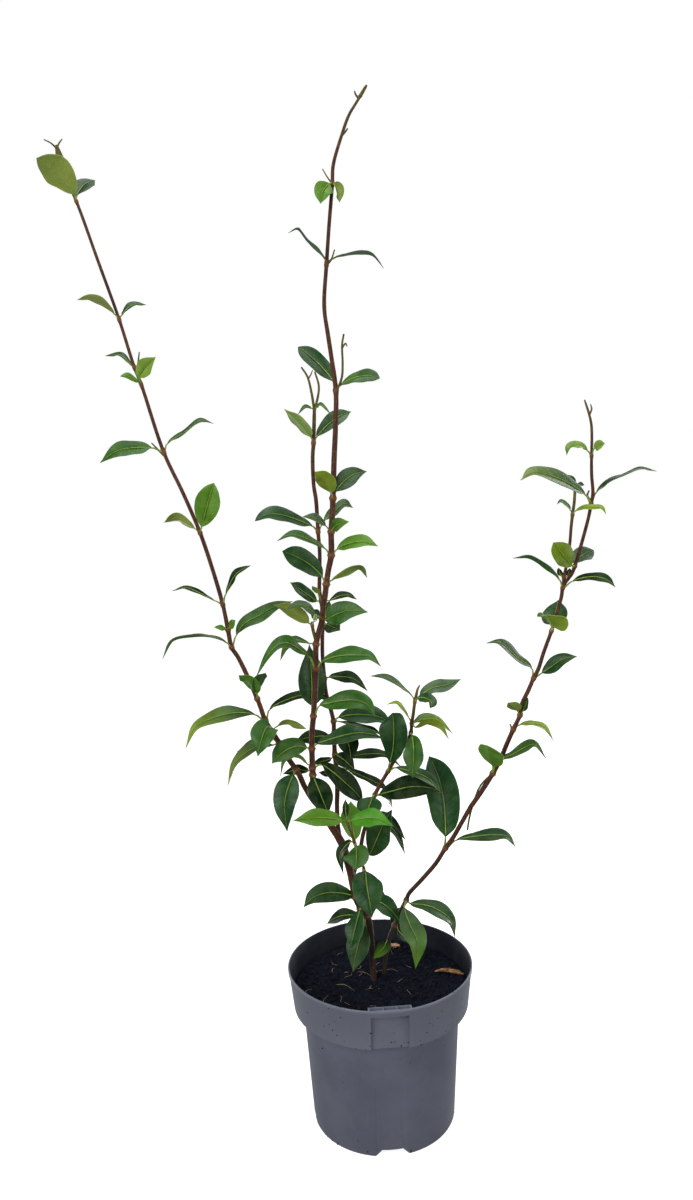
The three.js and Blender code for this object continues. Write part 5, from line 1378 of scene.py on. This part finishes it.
start_clean()
bpy.ops.mesh.primitive_grid_add(x_subdivisions=110, y_subdivisions=110, size=2, location=(0, 0, 0))
soil = bpy.context.object
flat = points_of(soil)
round_x = flat[:, 0] * np.sqrt(1 - flat[:, 1] ** 2 / 2) * SOIL_RADIUS * MM
round_y = flat[:, 1] * np.sqrt(1 - flat[:, 0] ** 2 / 2) * SOIL_RADIUS * MM
raised = [(*clear_of_panel(x, y), ground(x, y)) for x, y in zip(round_x, round_y)]
lay_points(soil, raised)
border = np.maximum(np.abs(flat[:, 0]), np.abs(flat[:, 1])) > 0.999
pick(soil, lambda p: border)
# A skirt goes down the wall in rings, each so far below the last and so much smaller
for drop, share in SKIRT:
    bpy.ops.mesh.extrude_region_move(TRANSFORM_OT_translate={"value": (0, 0, -drop * MM)})
    bpy.ops.transform.resize(value=(share, share, 1), center_override=(0, 0, 0))
bpy.ops.mesh.edge_face_add()
bpy.ops.object.mode_set(mode="OBJECT")
smooth(soil)
soil.data.materials.append(peat_soil)
store(soil, "bright", np.zeros(len(soil.data.vertices)))
print("soil from", points_of(soil).min(axis=0).round(3), "to", points_of(soil).max(axis=0).round(3))

# %% Strewn crumbs
LUMP_FLATNESS = 0.75
LUMP_ROUGHNESS = 0.16


def strew(name, spots, sizes, bright, finish, dice):
    """Copies one small lump to many places, each with its own size and turn"""
    start_clean()
    bpy.ops.mesh.primitive_ico_sphere_add(subdivisions=1, radius=1)
    lump = bpy.context.object
    pick(lump, lambda p: p[:, 2] > 0.3)
    bpy.ops.transform.resize(value=(0.8, 1.15, 0.85), center_override=(0.2, 0, 0))
    bpy.ops.object.mode_set(mode="OBJECT")
    shape = points_of(lump).astype(float)
    faces = np.array([face.vertices[:] for face in lump.data.polygons])
    bpy.data.objects.remove(lump)
    places = []
    for spot, size in zip(spots, sizes):
        turn = np.array(Vector(dice.normal(size=3)).to_track_quat("Z", "Y").to_matrix())
        rough = shape * (1 + dice.normal(0, LUMP_ROUGHNESS, shape.shape))
        places.append(rough @ turn.T * size * [1, 1, LUMP_FLATNESS] + spot)
    count = len(shape)
    mesh = bpy.data.meshes.new(name)
    all_faces = (faces[None] + count * np.arange(len(places))[:, None, None]).reshape(-1, 3)
    mesh.from_pydata(np.vstack(places).tolist(), [], all_faces.tolist())
    piece = bpy.data.objects.new(name, mesh)
    bpy.context.collection.objects.link(piece)
    mesh.materials.append(finish)
    store(piece, "bright", np.repeat(bright, count))
    return piece


CRUMBS = 2600
CRUMB_REACH = 63.4
dice = np.random.default_rng(7)
turns = dice.uniform(0, 2 * math.pi, CRUMBS)
reach = np.sqrt(dice.uniform(0, 1, CRUMBS)) * CRUMB_REACH * MM
sizes = (0.45 + dice.exponential(0.38, CRUMBS)).clip(0.4, 2.1) * MM
spots = []
for r, a, size in zip(reach * 0.985, turns, sizes):
    x, y = r * math.cos(a), r * math.sin(a)
    spots.append((*clear_of_panel(x, y), ground(x, y) + size * 0.15))
crumbs = strew("crumbs", spots, sizes, dice.beta(0.8, 3.5, CRUMBS), peat_soil, dice)
soil = join([soil, crumbs], "peat_soil")
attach(soil, "root")
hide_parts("soil")
print("soil with crumbs has", len(soil.data.polygons), "faces")

# %% [markdown]
# The clearest rootlets lie where the front view shows them: a line of sight is followed down to the
# soil. The rest wander from seeded places in short bends.

# %% Rootlets
SEEN_SOIL_Z = 0.1036
ROOTLETS = 26
root_hair = Finish("dry rootlets")
hair_cloud = root_hair.noise(root_hair.place(), 500, 2)
hair_color = root_hair.mix(hair_cloud, paint(0x7c6448), paint(0xb8a080))
hair = root_hair.shine(Base_Color=hair_color, Roughness=0.6 + 0.2 * hair_cloud)


def on_soil(x, z):
    """The place on the soil that a row's x and z show from the front"""
    seen = np.array([x, 0, z]) * MM
    sight = seen - FRONT_POINT
    spot = FRONT_POINT + sight * (SEEN_SOIL_Z - FRONT_POINT[2]) / sight[2]
    return spot[0], spot[1]


SEEN_ROOTS = [
    [(-17, 111), (-10, 108), (-4, 103)], [(-34, 102), (-28, 101), (-20, 96)],
    [(-28, 88), (-24, 84)], [(-9, 96), (-7, 99)], [(13, 101), (17, 104)], [(20, 96), (23, 91)],
]
hairs = [[on_soil(x, z) for x, z in marks] for marks in SEEN_ROOTS]
for number in range(ROOTLETS):
    a, r = dice.uniform(0, 2 * math.pi), math.sqrt(dice.uniform(0.02, 0.85)) * 62 * MM
    way = dice.uniform(0, 2 * math.pi)
    step = dice.uniform(1.5, 4.5) * MM
    line = [(r * math.cos(a), r * math.sin(a))]
    for bend in range(3):
        way += dice.normal(0, 0.6)
        line.append((line[-1][0] + step * math.cos(way), line[-1][1] + step * math.sin(way)))
    if max(math.hypot(*spot) for spot in line) < 63 * MM:
        hairs.append(line)
lines = []
for line in hairs:
    high = [(x, y, ground(x, y) + (0.5 + 0.5 * (i % 2)) * MM) for i, (x, y) in enumerate(line)]
    points = smooth_line(high)(np.linspace(0, 1, 9))
    thick = dice.uniform(0.1, 0.2)
    lines.append((points, thick * np.array([0.6, 0.9, 1, 1, 1, 0.9, 0.8, 0.6, 0.35])))
rootlets = tubes("rootlets", lines, hair, 6)
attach(rootlets, "root")
print(len(lines), "rootlets")

# %% [markdown]
# ## What lies on the soil
#
# A dead leaf has rolled up into a tan husk against the wall, and a chip of wood lies behind the
# canes. The husk is a strip rolled across its length. The chip is a block with rough, split faces.

# %% Husk
def fibrous(name, stretch, size, low, high, dark, light, depth):
    """A dull finish of light and dark fibers, stretched along one axis"""
    made = Finish(name)
    fiber = made.noise(made.place(stretch), size, 4)
    color = made.mix(made.ease(fiber, low, high), paint(dark), paint(light))
    relief = made.bump(fiber, depth, 0.0005)
    return made.shine(Base_Color=color, Roughness=0.6 + 0.2 * fiber, Normal=relief)


dry_husk = fibrous("dry husk", (0.2, 1, 1), 900, 0.42, 0.62, 0x6b4020, 0xd0a070, 0.6)
start_clean()
bpy.ops.mesh.primitive_grid_add(x_subdivisions=20, y_subdivisions=10, size=1, location=(0.5, 0, 0))
husk = bpy.context.object
set_into_mesh(husk)
flat = points_of(husk)
HUSK_ROUTE = [[41.5, 109.6, 9], [49, 109.4, 8], [57, 107.6, 6.5], [64, 106.2, 5]]
HUSK_RADIUS = 1.7
HUSK_TURN = 5.0
line = smooth_line([place(point) for point in HUSK_ROUTE])
along = line(np.clip(flat[:, 0], 0, 1) + 1e-3) - line(flat[:, 0] - 1e-3)
side = unit(np.cross([0, 0, 1], along))
rolled = flat[:, 1] * HUSK_TURN
radius = HUSK_RADIUS * MM * np.interp(flat[:, 0], [0, 0.2, 0.5, 0.8, 1], [0.08, 0.6, 1, 0.9, 0.3])
tight = radius * (1 - 0.1 * rolled / (HUSK_TURN / 2))
spots = line(flat[:, 0]) + side * (np.sin(rolled) * tight)[:, None]
spots[:, 2] += (1 - np.cos(rolled)) * tight - 0.6 * MM
lay_points(husk, spots)
husk.data.materials.append(dry_husk)
apply_modifier(husk, "SOLIDIFY", thickness=0.3 * MM, offset=0)
smooth(husk)
husk.name = "dead_leaf_husk"
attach(husk, "root")
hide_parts("dead_leaf")
print("husk box", points_of(husk).min(axis=0).round(4), points_of(husk).max(axis=0).round(4))

# %% Wood chip
split_wood = fibrous("split wood chip", (1, 0.12, 1), 1300, 0.3, 0.7, 0x9a6c50, 0xe0b898, 0.7)
start_clean()
CHIP_PLACE = (14.3 * MM, 53 * MM, 104.1 * MM)
CHIP_SIZE = (6 * MM, 5.5 * MM, 1.6 * MM)
bpy.ops.mesh.primitive_cube_add(size=1, location=CHIP_PLACE, scale=CHIP_SIZE)
chip = bpy.context.object
set_into_mesh(chip)
bpy.ops.object.mode_set(mode="EDIT")
bpy.ops.mesh.select_all(action="SELECT")
bpy.ops.mesh.subdivide(number_cuts=7)
bpy.ops.object.mode_set(mode="OBJECT")
rough = points_of(chip).astype(float)
middle = rough.mean(axis=0)
pushed = [[noise.noise(Vector(spot) * 420), noise.noise(Vector(spot) * 380 + Vector((5, 0, 0))),
           noise.noise(Vector(spot) * 300 + Vector((0, 9, 0)))] for spot in rough]
turn = np.array(Matrix.Rotation(math.radians(25), 3, "Z") @ Matrix.Rotation(math.radians(8), 3, "Y"))
rough = (rough - middle + np.array(pushed) * [0.0008, 0.0012, 0.0006]) @ turn.T + middle
lay_points(chip, rough)
chip.data.materials.append(split_wood)
apply_modifier(chip, "BEVEL", width=0.00012, segments=1, limit_method="ANGLE",
               angle_limit=math.radians(50))
bpy.ops.object.shade_smooth_by_angle(angle=math.radians(40))
chip.name = "wood_chip"
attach(chip, "root")
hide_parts("bark_chip")
print("chip has", len(chip.data.polygons), "faces")

# %% [markdown]
# A pot that was filled by hand has specks of soil on it: on the rim, under the band, in the panel's
# corners and round the foot. Seeded ones lie all round, and the clearest ones lie where the front
# view shows them.

# %% Specks on the pot
OUTSIDE = [
    (0, 53), (0.8, 53.9), (87.4, 59.3), (88.4, 65.8), (89, 66.2), (115.6, 69.2), (117.8, 70),
    (119, 69.6),
]
SPECK_ZONES = [
    (118.9, 119.2, 18), (90, 117, 50), (88.2, 89, 34), (60, 87, 26), (1, 60, 26), (0.8, 4, 20),
]
ON_BAND = (90, 88.2)
PANEL_ASIDE = 4.4
PANEL_REACH = 14.5


def on_panel(turn):
    """How far from the axis the panel's flat face lies in a direction"""
    return PANEL_FACE / math.cos(turn - math.radians(TURN))


def on_pot(reach, turn, height):
    """A place in metres at a distance from the axis, a direction from the front and a height"""
    return reach * math.sin(turn) * MM, -reach * math.cos(turn) * MM, height * MM


dice = np.random.default_rng(11)
spots = []
for low, high, number in SPECK_ZONES:
    for _ in range(number):
        height = dice.uniform(low, high)
        turn = dice.uniform(0, 2 * math.pi)
        r = between(OUTSIDE, height) - (0.5 if height > 118.8 else 0.02)
        from_panel = abs(r * math.sin(turn - math.radians(TURN)))
        if low in ON_BAND and from_panel < PANEL_REACH and math.cos(turn) > 0 and height < PANEL_TOP:
            r = on_panel(turn)
        spots.append(on_pot(r, turn, height))
sizes = (0.2 + dice.exponential(0.14, len(spots))).clip(0.2, 0.7) * MM
SEEN_SPECKS = [
    (-9.6, 102, 0.6), (-8.9, 100, 0.45), (-9.8, 92, 0.5), (5.0, 92.5, 0.55), (17, 91.5, 0.5),
    (12, 89.4, 0.55), (30, 97, 0.5), (34, 101, 0.4), (38, 105, 0.45), (41, 109, 0.4), (25, 92, 0.4),
    (-13, 88.6, 0.5), (-20, 88.6, 0.5), (-33, 96, 0.5), (-36, 99, 0.6), (-38, 103, 0.4),
    (-34, 107, 0.35), (-42, 100, 0.45), (-28, 93, 0.4), (-45, 1.2, 0.6), (-43.5, 0.8, 0.45),
    (-40, 0.8, 0.6), (-36, 0.8, 0.7), (-33, 0.8, 0.5), (-27, 0.8, 0.4), (-21, 20, 0.3),
    (18, 72, 0.35), (-30, 60, 0.3), (26, 40, 0.3),
]
for aside, height, size in SEEN_SPECKS:
    r = between(OUTSIDE, height)
    turn = math.asin(aside / r)
    if abs(aside - PANEL_ASIDE) < PANEL_REACH - 1 and 89 < height < PANEL_TOP:
        r = on_panel(turn)
    spots.append(on_pot(r, turn, height))
sizes = np.concatenate([sizes, [size * MM for aside, height, size in SEEN_SPECKS]])
specks = strew("soil_specks", spots, sizes, dice.beta(0.8, 6, len(spots)), peat_soil, dice)
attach(specks, "root")
print(len(spots), "specks")

# %% [markdown]
# ## Floor and light
#
# The picture has a plain white surround and soft light from all round, brighter from above and from
# the left. A white world gives the even part, and large area lamps give the soft highlights on
# leaves and pot. Small low lamps aim at the pot and brighten its edges, which stand out from the
# white in the picture.

# %% Floor, world and lamps
floor_finish = Finish("pale floor")
floor_cloud = floor_finish.noise(floor_finish.place(), 3, 2)
floor_color = floor_finish.mix(floor_cloud, (0.5, 0.5, 0.5, 1), (0.54, 0.54, 0.54, 1))
pale_floor = floor_finish.shine(Base_Color=floor_color, Roughness=0.8 + 0.05 * floor_cloud,
                                Emission_Color=(1, 1, 1, 1), Emission_Strength=0.86,
                                Specular_IOR_Level=0.0)
start_clean()
bpy.ops.mesh.primitive_plane_add(size=8, location=(0, 0, -0.0002))
floor = bpy.context.object
floor.name = "floor"
floor.data.materials.append(pale_floor)
floor.visible_diffuse = False
floor.visible_glossy = False

world = bpy.data.worlds.new("soft white")
bpy.context.scene.world = world
world.use_nodes = True
background = world.node_tree.nodes["Background"]
seen_ray = world.node_tree.nodes.new("ShaderNodeLightPath")
strength = world.node_tree.nodes.new("ShaderNodeMapRange")
strength.inputs["To Min"].default_value = 0.3
strength.inputs["To Max"].default_value = 1.0
world.node_tree.links.new(seen_ray.outputs["Is Camera Ray"], strength.inputs["Value"])
world.node_tree.links.new(strength.outputs["Result"], background.inputs["Strength"])
background.inputs["Color"].default_value = (1, 1, 1, 1)


def lamp(name, spot, size, power, aim=0.3):
    """A square soft lamp that looks at the object's middle line, at a height"""
    start_clean()
    bpy.ops.object.light_add(type="AREA", location=spot)
    made = bpy.context.object
    made.name = name
    made.data.size = size
    made.data.energy = power
    made.rotation_euler = (Vector((0, 0, aim)) - Vector(spot)).to_track_quat("-Z", "Y").to_euler()


lamp("left front lamp", (-1.1, -1.3, 1.1), 1.4, 24)
lamp("top lamp", (0.1, 0.0, 1.9), 1.3, 16)
lamp("right back lamp", (1.2, 0.9, 1.0), 0.9, 8)
lamp("low left lamp", (-0.4, 0.45, 0.1), 0.2, 2.0, 0.05)
lamp("low right lamp", (0.42, 0.4, 0.1), 0.2, 2.0, 0.05)
lamp("right side lamp", (1.2, -0.7, 0.25), 0.7, 5.5, 0.05)
bpy.context.scene.view_settings.view_transform = "Standard"
